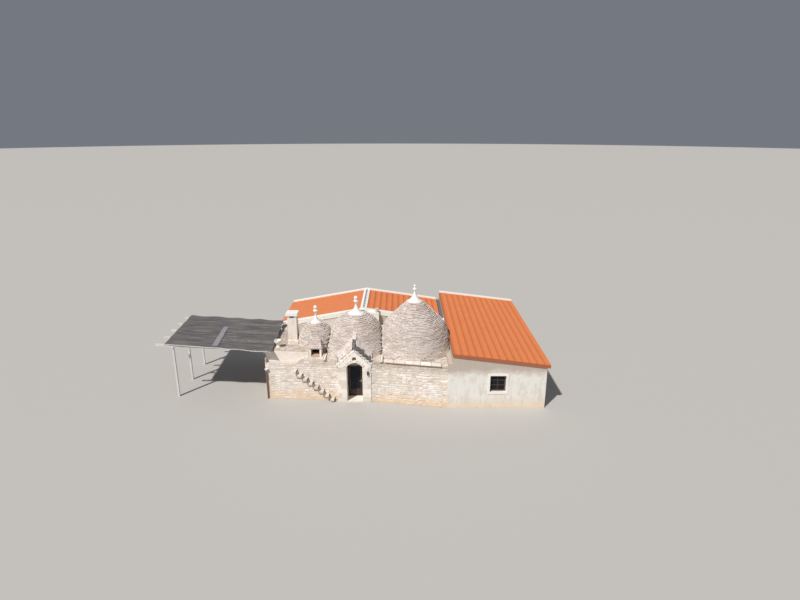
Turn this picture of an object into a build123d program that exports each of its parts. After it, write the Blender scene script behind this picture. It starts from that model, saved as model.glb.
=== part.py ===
from build123d import *
import os
from math import sqrt

os.makedirs("parts", exist_ok=True)

# Trullo house: three corbelled stone cones on a battered front wall, a gabled block behind,
# a lean-to block on the right and a shaded pergola on the left.
# All sizes are in millimetres. The origin lies on the ground under the middle cone,
# with +X to the right, +Y to the back and +Z up.

# Levels of the cone house
floor_thickness = 80
deck_thickness = 300
room_height = 2250
wall_top = room_height + deck_thickness

# Plan of the cone house
house_left = -5200
house_right = 5280
front_left_y = -1700
front_slope = -0.065
front_right_y = -2900
rear_face_y = 3850
wall_thickness = 800
wall_batter = 60
left_cross_x = -1950
right_cross_x = 1350
cross_thickness = 600

# Portal, its doorway and its small stone roof
portal_half_width = 950
portal_projection = 80
portal_head = 350
portal_spring = wall_top - portal_head
portal_gable_rise = 886
portal_roof_thickness = 100
portal_roof_overhang = 60
portal_roof_run = 1000
portal_roof_climb = 820
door_half_width = 450
door_arch_rise = 260
door_rebate = 60
door_reveal_depth = 600
threshold_nosing = 60
niche_width = 220
niche_above_arch = 140
niche_spring = 110
niche_height = 220
niche_depth = 160
jar_radius = 60
jar_foot_radius = 36
jar_neck_radius = 30
jar_mouth_radius = 39
jar_belly_rise = 75
jar_neck_rise = 128
jar_height = 150

# Cones: radii of the outside and the levels of its bends above the wall top
middle_x = 0
middle_foot_y = -1900
middle_radius = 2000
middle_y = middle_foot_y + middle_radius
middle_shoulder_radius = 1400
middle_shoulder_rise = 1370
middle_crown_radius = 1000
middle_crown_rise = 1830
middle_top_radius = 480
middle_top_rise = 2130
middle_dome_radius = 1250
middle_dome_waist = 950
middle_dome_rise = 1850

right_x = 3470
right_foot_y = -2300
right_radius = 2350
right_y = right_foot_y + right_radius
right_foot_radius = 2170
right_foot_rise = 300
right_waist_radius = 2000
right_waist_rise = 960
right_shoulder_radius = 1650
right_shoulder_rise = 1700
right_shoulder_bend = 1500
right_top_radius = 420
right_top_rise = 2890
right_dome_radius = 1500
right_dome_waist = 1200
right_dome_rise = 2450

left_x = -2420
left_y = 100
left_radius = 1100
left_drum_rise = 300
left_waist_radius = 870
left_waist_rise = 1050
left_top_radius = 300
left_top_rise = 1570
left_dome_shift = 180
left_dome_radius = 450
left_dome_waist = 370
left_dome_rise = 1150
dome_keystone_radius = 120

# Stone roof on the left and what stands on it
left_roof_right = -2640
left_roof_height = 330
left_roof_fall = 250
ledge_depth = 300
ledge_drop = 330
ledge_flat_length = 1800
ledge_curve_length = 600
chimney_x = -3800
chimney_y = 50
chimney_width = 540
chimney_base_width = 640
chimney_base_rise = 500
chimney_height = 1570
chimney_flue = 300
chimney_gap = 150
chimney_post = 130
chimney_slab_width = 690
chimney_slab_thickness = 150
vase_x = -4570
vase_y = -800
vase_height = 430
vase_rim_radius = 205
vase_stem_radius = 95
vase_foot_radius = 130
vase_stem_rise = 108
vase_bowl_rise = 215
vase_bowl_depth = 181
vase_bowl_floor_radius = 76
vase_bowl_middle_radius = 148
vase_bowl_middle_depth = 108
vase_wall = 35

# Dormer window in front of the left cone
dormer_left = -2640
dormer_right = -1930
dormer_front_y = -1550
dormer_height = 530
dormer_opening_width = 500
dormer_opening_height = 430
dormer_sill = 50

# Pale course on the front wall and the two stone spouts
front_coping_length = 3200
front_coping_width = 250
front_coping_nosing = 20
front_coping_thickness = 50
spout_width = 180
spout_length = 700
spout_height = 120
spout_projection = 120

# Plaster pinnacles, with their levels above the tops of the cones
cap_lip = 20
cap_hollow = 0.36
ring_thickness = 60
left_cap_height = 450
left_stem_radius = 60
left_ring_radius = 145
left_ring_rise = 710
left_ball_radius = 110
left_ball_rise = 920
middle_cap_height = 480
middle_stem_radius = 75
middle_ring_radius = 150
middle_ring_rise = 750
middle_ball_radius = 120
middle_ball_rise = 940
right_cap_height = 620
right_stem_radius = 60
right_ring_radius = 130
right_ring_rise = 740
right_ball_radius = 75
right_ball_rise = 935

# Stone steps that stick out of the front wall
step_count = 8
step_first_x = -1300
step_spacing = 307
step_first_top = 200
step_rise = 244
step_width = 320
step_projection = 320
step_embedment = 250
step_thickness = 130

# Gabled block behind the cones
rear_left = -5400
rear_back_y = 8850
rear_wall = 450
ridge_x = 150
ridge_top = 3560
left_eave_top = 2560
right_eave_top = 2800
roof_thickness = 160
coping_width = 320
coping_rise = 100
coping_leg = 40
ridge_width = 430
ridge_rise = 60
ridge_tile_radius = 75
flue_x = 835
flue_width = 730
flue_depth = 320
flue_top = 3500
flue_shaft = 160
flue_pot_x = 1050
flue_pot_radius = 120
flue_pot_height = 260

# Lean-to block on the right
annex_step = 250
annex_west_thickness = 500
annex_door_y = 0
annex_right = 10800
annex_wall = 450
annex_roof_high = 3330
annex_roof_low = 2650
annex_eave = 170
annex_roof_edge = annex_right + annex_eave
annex_roof_thickness = 180
annex_verge = 60
gutter_seat = 2700
gutter_height = 100
gutter_wall = 15

# Doorways and arches inside
arch_width = 1400
arch_crown = 2000
arch_centre_y = 100
inner_door_width = 900
inner_door_crown = 2050
inner_door_rise = 250

# Windows of the two rear blocks
window_width = 900
window_height = 1000
window_sill = 1000
window_border = 120
window_border_projection = 30
front_window_x = 8100
east_window_places = (0, 6000)
north_window_places = (-2600, 2800)
sash_setback = 150
sash_thickness = 60
sash_width = 70
pane_thickness = 8

# Door, frame and fanlight
frame_thickness = 70
frame_overlap = 50
door_gap = 5
leaf_thickness = 45
fanlight_foot = 150
leaf_top = portal_spring - fanlight_foot
transom_height = 60
leaf_stile = 110
leaf_bottom_rail = 450
glass_thickness = 8
closing_gap = 8
hinge_radius = 9
hinge_offset = 10
hinge_length = 90
hinge_play = 0.3
hinge_pin_radius = 4
hinge_pin_length = 30
hinge_levels = (350, 1750)
handle_level = 1050
handle_inset = 55
handle_length = 120
handle_reach = 45
handle_thickness = 18
handle_plate_width = 44
handle_plate_height = 150
handle_plate_thickness = 6

# Lantern on the portal and rainwater goods at the left corner
lantern_x = 770
lantern_drop = 440
lantern_level = portal_spring - lantern_drop
lantern_reach = 110
lantern_radius = 60
lantern_glass_radius = 44
lantern_height = 170
lantern_plate = 12
lantern_bar = 10
pipe_inset = 60
pipe_radius = 40
pipe_stand_off = 10
pipe_clip_levels = (500, 1500)
hopper_level = 1760
hopper_height = 140
hopper_radius = 110
hopper_wall = 10

# Pergola on the left
pergola_left = -11450
pergola_right = -4900
pergola_front_y = -1500
rafter_count = 5
rafter_spacing = 1150
rafter_width = 80
rafter_height = 120
pergola_clearance = 10
pergola_low = wall_top + left_roof_height + pergola_clearance
pergola_rise = 350
post_width = 110
post_x = -10500
canopy_thickness = 25
canopy_inset = 250
canopy_skew = 800


kink_y = front_left_y + front_slope * (portal_half_width - house_left)


def front_y(x, inset=0):
    """Line of the front wall's foot in plan, moved back by the inset."""
    if x <= portal_half_width:
        return front_left_y + front_slope * (x - house_left) + inset
    share = (x - portal_half_width) / (house_right - portal_half_width)
    return kink_y + share * (front_right_y - kink_y) + inset


def inner_y(x):
    """Inside face of the front wall in plan."""
    return front_y(x, wall_thickness)


def rear_roof_top(x):
    """Level of the gabled roof's upper face."""
    if x <= ridge_x:
        return left_eave_top + (x - rear_left) / (ridge_x - rear_left) * (ridge_top - left_eave_top)
    return right_eave_top + (house_right - x) / (house_right - ridge_x) * (ridge_top - right_eave_top)


def annex_roof_top(x):
    """Level of the lean-to roof's upper face."""
    share = (x - annex_left) / (annex_roof_edge - annex_left)
    return annex_roof_high + share * (annex_roof_low - annex_roof_high)


def upright_plane(x, y):
    """Vertical plane that faces the front, with its origin on the upright through x and y."""
    return Plane(origin=(x, y, 0), x_dir=(1, 0, 0), z_dir=(0, -1, 0))


def upright_axis(x, y):
    """Upright axis through x and y."""
    return Axis((x, y, 0), (0, 0, 1))


def arched_opening(half_width, foot, spring, crown):
    """Upright opening with straight sides and an arched head."""
    with BuildSketch() as opening:
        with BuildLine():
            Polyline((-half_width, spring), (-half_width, foot), (half_width, foot), (half_width, spring))
            ThreePointArc((half_width, spring), (0, crown), (-half_width, spring))
        make_face()
    return opening.sketch


annex_left = house_right + annex_step
portal_front_y = kink_y - portal_projection
rebate_y = portal_front_y + door_reveal_depth
valley_x = (
    middle_x
    + ((right_x - middle_x) ** 2 + middle_radius**2 - right_radius**2) / (2 * (right_x - middle_x))
)

# Outer form of the middle cone: a straight batter and a rounded crown
with BuildPart() as middle_form:
    with BuildSketch(upright_plane(middle_x, middle_y)):
        with BuildLine():
            Line((0, wall_top), (middle_radius, wall_top))
            Line((middle_radius, wall_top), (middle_shoulder_radius, wall_top + middle_shoulder_rise))
            ThreePointArc(
                (middle_shoulder_radius, wall_top + middle_shoulder_rise),
                (middle_crown_radius, wall_top + middle_crown_rise),
                (middle_top_radius, wall_top + middle_top_rise),
            )
            Line((middle_top_radius, wall_top + middle_top_rise), (0, wall_top + middle_top_rise))
            Line((0, wall_top + middle_top_rise), (0, wall_top))
        make_face()
    revolve(axis=upright_axis(middle_x, middle_y))

# Outer form of the right cone: a flared foot, a bulging body and a straight upper part
with BuildPart() as right_form:
    with BuildSketch(upright_plane(right_x, right_y)) as right_outline:
        with BuildLine():
            Line((0, wall_top), (right_radius, wall_top))
            Line((right_radius, wall_top), (right_foot_radius, wall_top + right_foot_rise))
            ThreePointArc(
                (right_foot_radius, wall_top + right_foot_rise),
                (right_waist_radius, wall_top + right_waist_rise),
                (right_shoulder_radius, wall_top + right_shoulder_rise),
            )
            Line(
                (right_shoulder_radius, wall_top + right_shoulder_rise),
                (right_top_radius, wall_top + right_top_rise),
            )
            Line((right_top_radius, wall_top + right_top_rise), (0, wall_top + right_top_rise))
            Line((0, wall_top + right_top_rise), (0, wall_top))
        make_face()
        shoulder = right_outline.vertices().sort_by_distance(
            (right_shoulder_radius, wall_top + right_shoulder_rise, 0)
        )[0]
        fillet(shoulder, radius=right_shoulder_bend)
    revolve(axis=upright_axis(right_x, right_y))

# Outer form of the left cone: a low drum under a rounded cone
with BuildPart() as left_form:
    with BuildSketch(upright_plane(left_x, left_y)):
        with BuildLine():
            Line((0, wall_top), (left_radius, wall_top))
            Line((left_radius, wall_top), (left_radius, wall_top + left_drum_rise))
            ThreePointArc(
                (left_radius, wall_top + left_drum_rise),
                (left_waist_radius, wall_top + left_waist_rise),
                (left_top_radius, wall_top + left_top_rise),
            )
            Line((left_top_radius, wall_top + left_top_rise), (0, wall_top + left_top_rise))
            Line((0, wall_top + left_top_rise), (0, wall_top))
        make_face()
    revolve(axis=upright_axis(left_x, left_y))

# Mass of the portal above its jambs: a gable whose ridge climbs back into the middle cone
portal_climb = Vector(0, portal_roof_run, portal_roof_climb)
with BuildPart() as gable_form:
    with BuildSketch(upright_plane(0, portal_front_y)) as gable_face:
        Polygon(
            (-portal_half_width, portal_spring),
            (portal_half_width, portal_spring),
            (0, portal_spring + portal_gable_rise),
        )
    extrude(amount=-wall_thickness - portal_half_width)
    extrude(gable_face.sketch, amount=portal_climb.length, dir=portal_climb.normalized())
    split(
        bisect_by=Plane(origin=(0, inner_y(0), 0), x_dir=(1, front_slope, 0), z_dir=(front_slope, -1, 0)),
        keep=Keep.TOP,
    )

# Left face of the front wall, with x along the wall and z out of it
left_face = Plane(
    origin=(house_left, front_left_y, 0), x_dir=(1, front_slope, 0), z_dir=(front_slope, -1, 0)
)

# Flight of single stones that stick out of the front wall
with BuildPart() as wall_steps:
    with BuildSketch(left_face.offset(step_projection)):
        with Locations(
            *[
                (
                    step_first_x - house_left - number * step_spacing,
                    step_first_top - step_thickness / 2 + number * step_rise,
                )
                for number in range(step_count)
            ]
        ):
            Rectangle(step_width, step_thickness)
    extrude(amount=-step_projection - step_embedment)
wall_steps.part.label = "wall_steps"
export_step(wall_steps.part, "parts/wall_steps.step")

# Front wall, left of the portal: battered, with a ledge that curves up towards the cones
with BuildPart() as front_wall_left:
    with BuildSketch():
        Polygon(
            (house_left, front_y(house_left)),
            (0, front_y(0)),
            (0, inner_y(0)),
            (house_left, inner_y(house_left)),
        )
    with BuildSketch(Plane.XY.offset(wall_top)):
        Polygon(
            (house_left, front_y(house_left, wall_batter)),
            (0, front_y(0, wall_batter)),
            (0, inner_y(0)),
            (house_left, inner_y(house_left)),
        )
    loft(ruled=True)
    with BuildSketch(left_face.offset(-ledge_depth)):
        with BuildLine():
            ledge = Line((-wall_batter, wall_top - ledge_drop), (ledge_flat_length, wall_top - ledge_drop))
            rise = SagittaArc(ledge @ 1, (ledge_flat_length + ledge_curve_length, wall_top), ledge_drop / 4)
            Line(rise @ 1, (-wall_batter, wall_top))
            Line((-wall_batter, wall_top), ledge @ 0)
        make_face()
    extrude(amount=2 * ledge_depth, mode=Mode.SUBTRACT)
    with BuildSketch(upright_plane(0, portal_front_y)):
        Rectangle(2 * portal_half_width, portal_spring, align=(Align.CENTER, Align.MIN))
    extrude(amount=-2 * wall_thickness, mode=Mode.SUBTRACT)
    add(gable_form.part, mode=Mode.SUBTRACT)
    add(wall_steps.part, mode=Mode.SUBTRACT)
front_wall_left.part.label = "front_wall_left"
export_step(front_wall_left.part, "parts/front_wall_left.step")

# Front wall, right of the portal, turned a little further back from the eye
with BuildPart() as front_wall_right:
    with BuildSketch():
        Polygon(
            (0, front_y(0)),
            (portal_half_width, front_y(portal_half_width)),
            (house_right, front_y(house_right)),
            (house_right, inner_y(house_right)),
            (portal_half_width, inner_y(portal_half_width)),
            (0, inner_y(0)),
        )
    with BuildSketch(Plane.XY.offset(wall_top)):
        Polygon(
            (0, front_y(0, wall_batter)),
            (portal_half_width, front_y(portal_half_width, wall_batter)),
            (house_right, front_y(house_right, wall_batter)),
            (house_right, inner_y(house_right)),
            (portal_half_width, inner_y(portal_half_width)),
            (0, inner_y(0)),
        )
    loft(ruled=True)
    with BuildSketch(upright_plane(0, portal_front_y)):
        Rectangle(2 * portal_half_width, portal_spring, align=(Align.CENTER, Align.MIN))
    extrude(amount=-2 * wall_thickness, mode=Mode.SUBTRACT)
    add(gable_form.part, mode=Mode.SUBTRACT)
front_wall_right.part.label = "front_wall_right"
export_step(front_wall_right.part, "parts/front_wall_right.step")

# Jambs of the portal, rebated behind the door frame
rebate_half_width = door_half_width + door_rebate
with BuildPart() as portal_jambs:
    with BuildSketch():
        for side in (-1, 1):
            Polygon(
                (side * portal_half_width, portal_front_y),
                (side * door_half_width, portal_front_y),
                (side * door_half_width, rebate_y),
                (side * rebate_half_width, rebate_y),
                (side * rebate_half_width, inner_y(side * rebate_half_width)),
                (side * portal_half_width, inner_y(side * portal_half_width)),
            )
    extrude(amount=portal_spring)
portal_jambs.part.label = "portal_jambs"
export_step(portal_jambs.part, "parts/portal_jambs.step")

# Gable over the doorway, with the arched head and a small arched niche
niche_level = portal_spring + door_arch_rise + niche_above_arch
with BuildPart() as portal_gable:
    add(gable_form.part)
    add(middle_form.part, mode=Mode.SUBTRACT)
    with BuildSketch(upright_plane(0, portal_front_y)):
        add(arched_opening(door_half_width, 0, portal_spring, portal_spring + door_arch_rise))
    extrude(amount=-door_reveal_depth, mode=Mode.SUBTRACT)
    with BuildSketch(upright_plane(0, rebate_y)):
        add(
            arched_opening(
                rebate_half_width, 0, portal_spring, portal_spring + door_arch_rise + door_rebate
            )
        )
    extrude(amount=-wall_thickness, mode=Mode.SUBTRACT)
    with BuildSketch(upright_plane(0, portal_front_y)):
        add(
            arched_opening(
                niche_width / 2, niche_level, niche_level + niche_spring, niche_level + niche_height
            )
        )
    extrude(amount=-niche_depth, mode=Mode.SUBTRACT)
portal_gable.part.label = "portal_gable"
export_step(portal_gable.part, "parts/portal_gable.step")

# Small jar that stands in the niche
with BuildPart() as niche_jar:
    with BuildSketch(upright_plane(0, portal_front_y + niche_depth / 2)):
        with BuildLine():
            Line((0, niche_level), (jar_foot_radius, niche_level))
            belly = ThreePointArc(
                (jar_foot_radius, niche_level),
                (jar_radius, niche_level + jar_belly_rise),
                (jar_neck_radius, niche_level + jar_neck_rise),
            )
            Polyline(
                belly @ 1,
                (jar_mouth_radius, niche_level + jar_height),
                (0, niche_level + jar_height),
                (0, niche_level),
            )
        make_face()
    revolve(axis=upright_axis(0, portal_front_y + niche_depth / 2))
niche_jar.part.label = "niche_jar"
export_step(niche_jar.part, "parts/niche_jar.step")

# Two stone slopes of the portal's roof, which climb back to the cone
slope_length = sqrt(portal_half_width**2 + portal_gable_rise**2)
eave_out = portal_roof_overhang * portal_half_width / slope_length
eave_down = portal_roof_overhang * portal_gable_rise / slope_length
upright_cover = portal_roof_thickness * slope_length / portal_half_width
with BuildPart() as portal_roof:
    with BuildSketch(upright_plane(0, portal_front_y)) as roof_face:
        Polygon(
            (-portal_half_width - eave_out, portal_spring - eave_down),
            (0, portal_spring + portal_gable_rise),
            (portal_half_width + eave_out, portal_spring - eave_down),
            (portal_half_width + eave_out, portal_spring - eave_down + upright_cover),
            (0, portal_spring + portal_gable_rise + upright_cover),
            (-portal_half_width - eave_out, portal_spring - eave_down + upright_cover),
        )
    extrude(roof_face.sketch, amount=portal_climb.length, dir=portal_climb.normalized())
    extrude(roof_face.sketch, amount=portal_roof_overhang, dir=-portal_climb.normalized())
    add(middle_form.part, mode=Mode.SUBTRACT)
    add(front_wall_left.part, mode=Mode.SUBTRACT)
    add(front_wall_right.part, mode=Mode.SUBTRACT)
portal_roof.part.label = "portal_roof"
export_step(portal_roof.part, "parts/portal_roof.step")

# Stone threshold under the door
with BuildPart() as door_threshold:
    with BuildSketch():
        with Locations((0, rebate_y)):
            Rectangle(
                2 * door_half_width, door_reveal_depth + threshold_nosing, align=(Align.CENTER, Align.MAX)
            )
    extrude(amount=floor_thickness)
door_threshold.part.label = "door_threshold"
export_step(door_threshold.part, "parts/door_threshold.step")

# Outer wall on the left of the cone house
with BuildPart() as west_wall:
    with BuildSketch():
        Polygon(
            (house_left, inner_y(house_left)),
            (house_left + wall_thickness, inner_y(house_left + wall_thickness)),
            (house_left + wall_thickness, rear_face_y),
            (house_left, rear_face_y),
        )
    extrude(amount=wall_top)
west_wall.part.label = "west_wall"
export_step(west_wall.part, "parts/west_wall.step")

# Cross walls that carry the cones, each with an arch between two rooms
with BuildPart() as cross_walls:
    for cross_x in (left_cross_x, right_cross_x):
        with BuildSketch():
            Polygon(
                (cross_x, inner_y(cross_x)),
                (cross_x + cross_thickness, inner_y(cross_x + cross_thickness)),
                (cross_x + cross_thickness, rear_face_y),
                (cross_x, rear_face_y),
            )
        extrude(amount=room_height)
        with BuildSketch(Plane(origin=(cross_x, arch_centre_y, 0), x_dir=(0, 1, 0), z_dir=(1, 0, 0))):
            add(arched_opening(arch_width / 2, 0, arch_crown - arch_width / 2, arch_crown))
        extrude(amount=cross_thickness, mode=Mode.SUBTRACT)
cross_walls.part.label = "cross_walls"
export_step(cross_walls.part, "parts/cross_walls.step")

# Wall between the cone house and the gabled block, carried up to the roof as a gable
with BuildPart() as dividing_wall:
    with BuildSketch(upright_plane(0, rear_face_y)):
        Polygon(
            (rear_left, 0),
            (house_right, 0),
            (house_right, right_eave_top - roof_thickness),
            (ridge_x, ridge_top - roof_thickness),
            (rear_left, left_eave_top - roof_thickness),
        )
    extrude(amount=-rear_wall)
    with BuildSketch(upright_plane(0, rear_face_y)):
        add(
            arched_opening(
                inner_door_width / 2, 0, inner_door_crown - inner_door_rise, inner_door_crown
            )
        )
    extrude(amount=-rear_wall, mode=Mode.SUBTRACT)
dividing_wall.part.label = "dividing_wall"
export_step(dividing_wall.part, "parts/dividing_wall.step")

# Windows: planes on the outer wall faces, with the origin in the middle of each sill
windows_north = [
    Plane(origin=(x, rear_back_y, window_sill), x_dir=(-1, 0, 0), z_dir=(0, 1, 0))
    for x in north_window_places
]
windows_east = [
    Plane(origin=(annex_right, y, window_sill), x_dir=(0, 1, 0), z_dir=(1, 0, 0))
    for y in east_window_places
]
windows_front = [
    Plane(origin=(front_window_x, front_right_y, window_sill), x_dir=(1, 0, 0), z_dir=(0, -1, 0))
]
window_faces = windows_north + windows_east + windows_front

# Walls of the gabled block
with BuildPart() as rear_west_wall:
    with BuildSketch(upright_plane(0, rear_face_y + rear_wall)):
        Polygon(
            (rear_left, 0),
            (rear_left + rear_wall, 0),
            (rear_left + rear_wall, rear_roof_top(rear_left + rear_wall) - roof_thickness),
            (rear_left, left_eave_top - roof_thickness),
        )
    extrude(amount=-(rear_back_y - rear_face_y - 2 * rear_wall))
rear_west_wall.part.label = "rear_west_wall"
export_step(rear_west_wall.part, "parts/rear_west_wall.step")

with BuildPart() as rear_north_wall:
    with BuildSketch(upright_plane(0, rear_back_y)):
        Polygon(
            (rear_left, 0),
            (house_right, 0),
            (house_right, right_eave_top - roof_thickness),
            (ridge_x, ridge_top - roof_thickness),
            (rear_left, left_eave_top - roof_thickness),
        )
    extrude(amount=rear_wall)
    for face in windows_north:
        with BuildSketch(face):
            Rectangle(window_width, window_height, align=(Align.CENTER, Align.MIN))
        extrude(amount=-rear_wall, mode=Mode.SUBTRACT)
rear_north_wall.part.label = "rear_north_wall"
export_step(rear_north_wall.part, "parts/rear_north_wall.step")

# Walls of the lean-to block; the west one has a step that carries the gutter
with BuildPart() as annex_west_wall:
    with BuildSketch(upright_plane(0, front_right_y)):
        Polygon(
            (house_right, 0),
            (house_right + annex_west_thickness, 0),
            (
                house_right + annex_west_thickness,
                annex_roof_top(house_right + annex_west_thickness) - annex_roof_thickness,
            ),
            (annex_left, annex_roof_high - annex_roof_thickness),
            (annex_left, gutter_seat),
            (house_right, gutter_seat),
        )
    extrude(amount=-(rear_back_y - front_right_y))
    with BuildSketch(Plane(origin=(house_right, annex_door_y, 0), x_dir=(0, 1, 0), z_dir=(1, 0, 0))):
        add(
            arched_opening(
                inner_door_width / 2, 0, inner_door_crown - inner_door_rise, inner_door_crown
            )
        )
    extrude(amount=annex_west_thickness, mode=Mode.SUBTRACT)
annex_west_wall.part.label = "annex_west_wall"
export_step(annex_west_wall.part, "parts/annex_west_wall.step")

annex_inner_left = house_right + annex_west_thickness
annex_end_outline = (
    (annex_inner_left, 0),
    (annex_right, 0),
    (annex_right, annex_roof_top(annex_right) - annex_roof_thickness),
    (annex_inner_left, annex_roof_top(annex_inner_left) - annex_roof_thickness),
)
with BuildPart() as annex_end_walls:
    for end_y in (front_right_y, rear_back_y - annex_wall):
        with BuildSketch(upright_plane(0, end_y)):
            Polygon(*annex_end_outline)
        extrude(amount=-annex_wall)
    for face in windows_front:
        with BuildSketch(face):
            Rectangle(window_width, window_height, align=(Align.CENTER, Align.MIN))
        extrude(amount=-annex_wall, mode=Mode.SUBTRACT)
annex_end_walls.part.label = "annex_end_walls"
export_step(annex_end_walls.part, "parts/annex_end_walls.step")

with BuildPart() as annex_east_wall:
    with BuildSketch(upright_plane(0, front_right_y + annex_wall)):
        Polygon(
            (annex_right - annex_wall, 0),
            (annex_right, 0),
            (annex_right, annex_roof_top(annex_right) - annex_roof_thickness),
            (annex_right - annex_wall, annex_roof_top(annex_right - annex_wall) - annex_roof_thickness),
        )
    extrude(amount=-(rear_back_y - front_right_y - 2 * annex_wall))
    for face in windows_east:
        with BuildSketch(face):
            Rectangle(window_width, window_height, align=(Align.CENTER, Align.MIN))
        extrude(amount=-annex_wall, mode=Mode.SUBTRACT)
annex_east_wall.part.label = "annex_east_wall"
export_step(annex_east_wall.part, "parts/annex_east_wall.step")

# Floor inside all the rooms, their doorways and the reveal behind the door
with BuildPart() as floor:
    with BuildSketch():
        Polygon(
            (house_left + wall_thickness / 2, inner_y(house_left)),
            (-portal_half_width, inner_y(-portal_half_width)),
            (-rebate_half_width, rebate_y),
            (rebate_half_width, rebate_y),
            (portal_half_width, inner_y(portal_half_width)),
            (house_right, inner_y(house_right)),
            (house_right, front_right_y + annex_wall),
            (annex_right - annex_wall, front_right_y + annex_wall),
            (annex_right - annex_wall, rear_back_y - annex_wall),
            (house_right, rear_back_y - rear_wall),
            (rear_left + rear_wall, rear_back_y - rear_wall),
            (rear_left + rear_wall, rear_face_y + rear_wall / 2),
            (house_left + wall_thickness / 2, rear_face_y + rear_wall / 2),
        )
    extrude(amount=floor_thickness)
    for wall in (
        front_wall_left,
        front_wall_right,
        portal_jambs,
        west_wall,
        cross_walls,
        dividing_wall,
        rear_west_wall,
        rear_north_wall,
        annex_west_wall,
        annex_end_walls,
    ):
        add(wall.part, mode=Mode.SUBTRACT)
floor.part.label = "floor"
export_step(floor.part, "parts/floor.step")

# Stone roof on the left, falling gently to the back and cut round the drum of the left cone
with BuildPart() as left_roof:
    with BuildSketch(Plane.XY.offset(wall_top)):
        Polygon(
            (house_left, front_y(house_left, ledge_depth)),
            (left_roof_right, front_y(left_roof_right, ledge_depth)),
            (left_roof_right, rear_face_y),
            (house_left, rear_face_y),
        )
    extrude(amount=left_roof_height)
    split(
        bisect_by=Plane(
            origin=(0, front_y(house_left, ledge_depth), wall_top + left_roof_height),
            x_dir=(1, 0, 0),
            z_dir=(0, left_roof_fall, rear_face_y - front_y(house_left, ledge_depth)),
        ),
        keep=Keep.BOTTOM,
    )
    add(left_form.part, mode=Mode.SUBTRACT)
    with BuildSketch(Plane.XY.offset(wall_top)):
        with Locations((chimney_x, chimney_y)):
            Rectangle(chimney_flue, chimney_flue)
    extrude(amount=left_roof_height, mode=Mode.SUBTRACT)
left_roof.part.label = "left_roof"
export_step(left_roof.part, "parts/left_roof.step")

# Deck over the rooms, with a round hole under each cone and a shaft under each flue
with BuildPart() as roof_deck:
    with BuildSketch(Plane.XY.offset(room_height)):
        Polygon(
            (house_left + wall_thickness, inner_y(house_left + wall_thickness)),
            (portal_half_width, inner_y(portal_half_width)),
            (house_right, inner_y(house_right)),
            (house_right, rear_face_y),
            (house_left + wall_thickness, rear_face_y),
        )
        with Locations((middle_x, middle_y)):
            Circle(middle_dome_radius, mode=Mode.SUBTRACT)
        with Locations((right_x, right_y)):
            Circle(right_dome_radius, mode=Mode.SUBTRACT)
        with Locations((left_x - left_dome_shift, left_y)):
            Circle(left_dome_radius, mode=Mode.SUBTRACT)
        with Locations((chimney_x, chimney_y)):
            Rectangle(chimney_flue, chimney_flue, mode=Mode.SUBTRACT)
        with Locations((flue_pot_x, rear_face_y - coping_leg - flue_depth / 2)):
            Rectangle(flue_shaft, flue_shaft, mode=Mode.SUBTRACT)
    extrude(amount=deck_thickness)
roof_deck.part.label = "roof_deck"
export_step(roof_deck.part, "parts/roof_deck.step")

# Middle cone: hollow under a pointed dome, cut along the valley beside the right cone
with BuildPart() as middle_cone:
    add(middle_form.part)
    with BuildSketch(upright_plane(middle_x, middle_y)):
        with BuildLine():
            Line((0, wall_top), (middle_dome_radius, wall_top))
            ThreePointArc(
                (middle_dome_radius, wall_top),
                (middle_dome_waist, wall_top + middle_dome_rise / 2),
                (dome_keystone_radius, wall_top + middle_dome_rise),
            )
            Line((dome_keystone_radius, wall_top + middle_dome_rise), (0, wall_top + middle_dome_rise))
            Line((0, wall_top + middle_dome_rise), (0, wall_top))
        make_face()
    revolve(axis=upright_axis(middle_x, middle_y), mode=Mode.SUBTRACT)
    split(bisect_by=Plane.YZ.offset(valley_x), keep=Keep.BOTTOM)
middle_cone.part.label = "middle_cone"
export_step(middle_cone.part, "parts/middle_cone.step")

# Right cone: also cut by the stepped wall of the lean-to block
with BuildPart() as right_cone:
    add(right_form.part)
    with BuildSketch(upright_plane(right_x, right_y)):
        with BuildLine():
            Line((0, wall_top), (right_dome_radius, wall_top))
            ThreePointArc(
                (right_dome_radius, wall_top),
                (right_dome_waist, wall_top + right_dome_rise / 2),
                (dome_keystone_radius, wall_top + right_dome_rise),
            )
            Line((dome_keystone_radius, wall_top + right_dome_rise), (0, wall_top + right_dome_rise))
            Line((0, wall_top + right_dome_rise), (0, wall_top))
        make_face()
    revolve(axis=upright_axis(right_x, right_y), mode=Mode.SUBTRACT)
    split(bisect_by=Plane.YZ.offset(valley_x), keep=Keep.TOP)
    split(bisect_by=Plane.YZ.offset(annex_left), keep=Keep.BOTTOM)
    add(annex_west_wall.part, mode=Mode.SUBTRACT)
right_cone.part.label = "right_cone"
export_step(right_cone.part, "parts/right_cone.step")

# Dormer block and its tunnel into the left cone
dormer_middle = (dormer_left + dormer_right) / 2
with BuildPart() as dormer_tunnel:
    with BuildSketch(upright_plane(dormer_middle, dormer_front_y)):
        with Locations((0, wall_top + dormer_sill)):
            Rectangle(dormer_opening_width, dormer_opening_height, align=(Align.CENTER, Align.MIN))
    extrude(amount=-(left_y - dormer_front_y))

with BuildPart() as dormer:
    with BuildSketch(upright_plane(dormer_middle, dormer_front_y)):
        with Locations((0, wall_top)):
            Rectangle(dormer_right - dormer_left, dormer_height, align=(Align.CENTER, Align.MIN))
    extrude(amount=-(left_y - left_radius / 2 - dormer_front_y))
    add(left_form.part, mode=Mode.SUBTRACT)
    add(dormer_tunnel.part, mode=Mode.SUBTRACT)
dormer.part.label = "dormer"
export_step(dormer.part, "parts/dormer.step")

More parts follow.
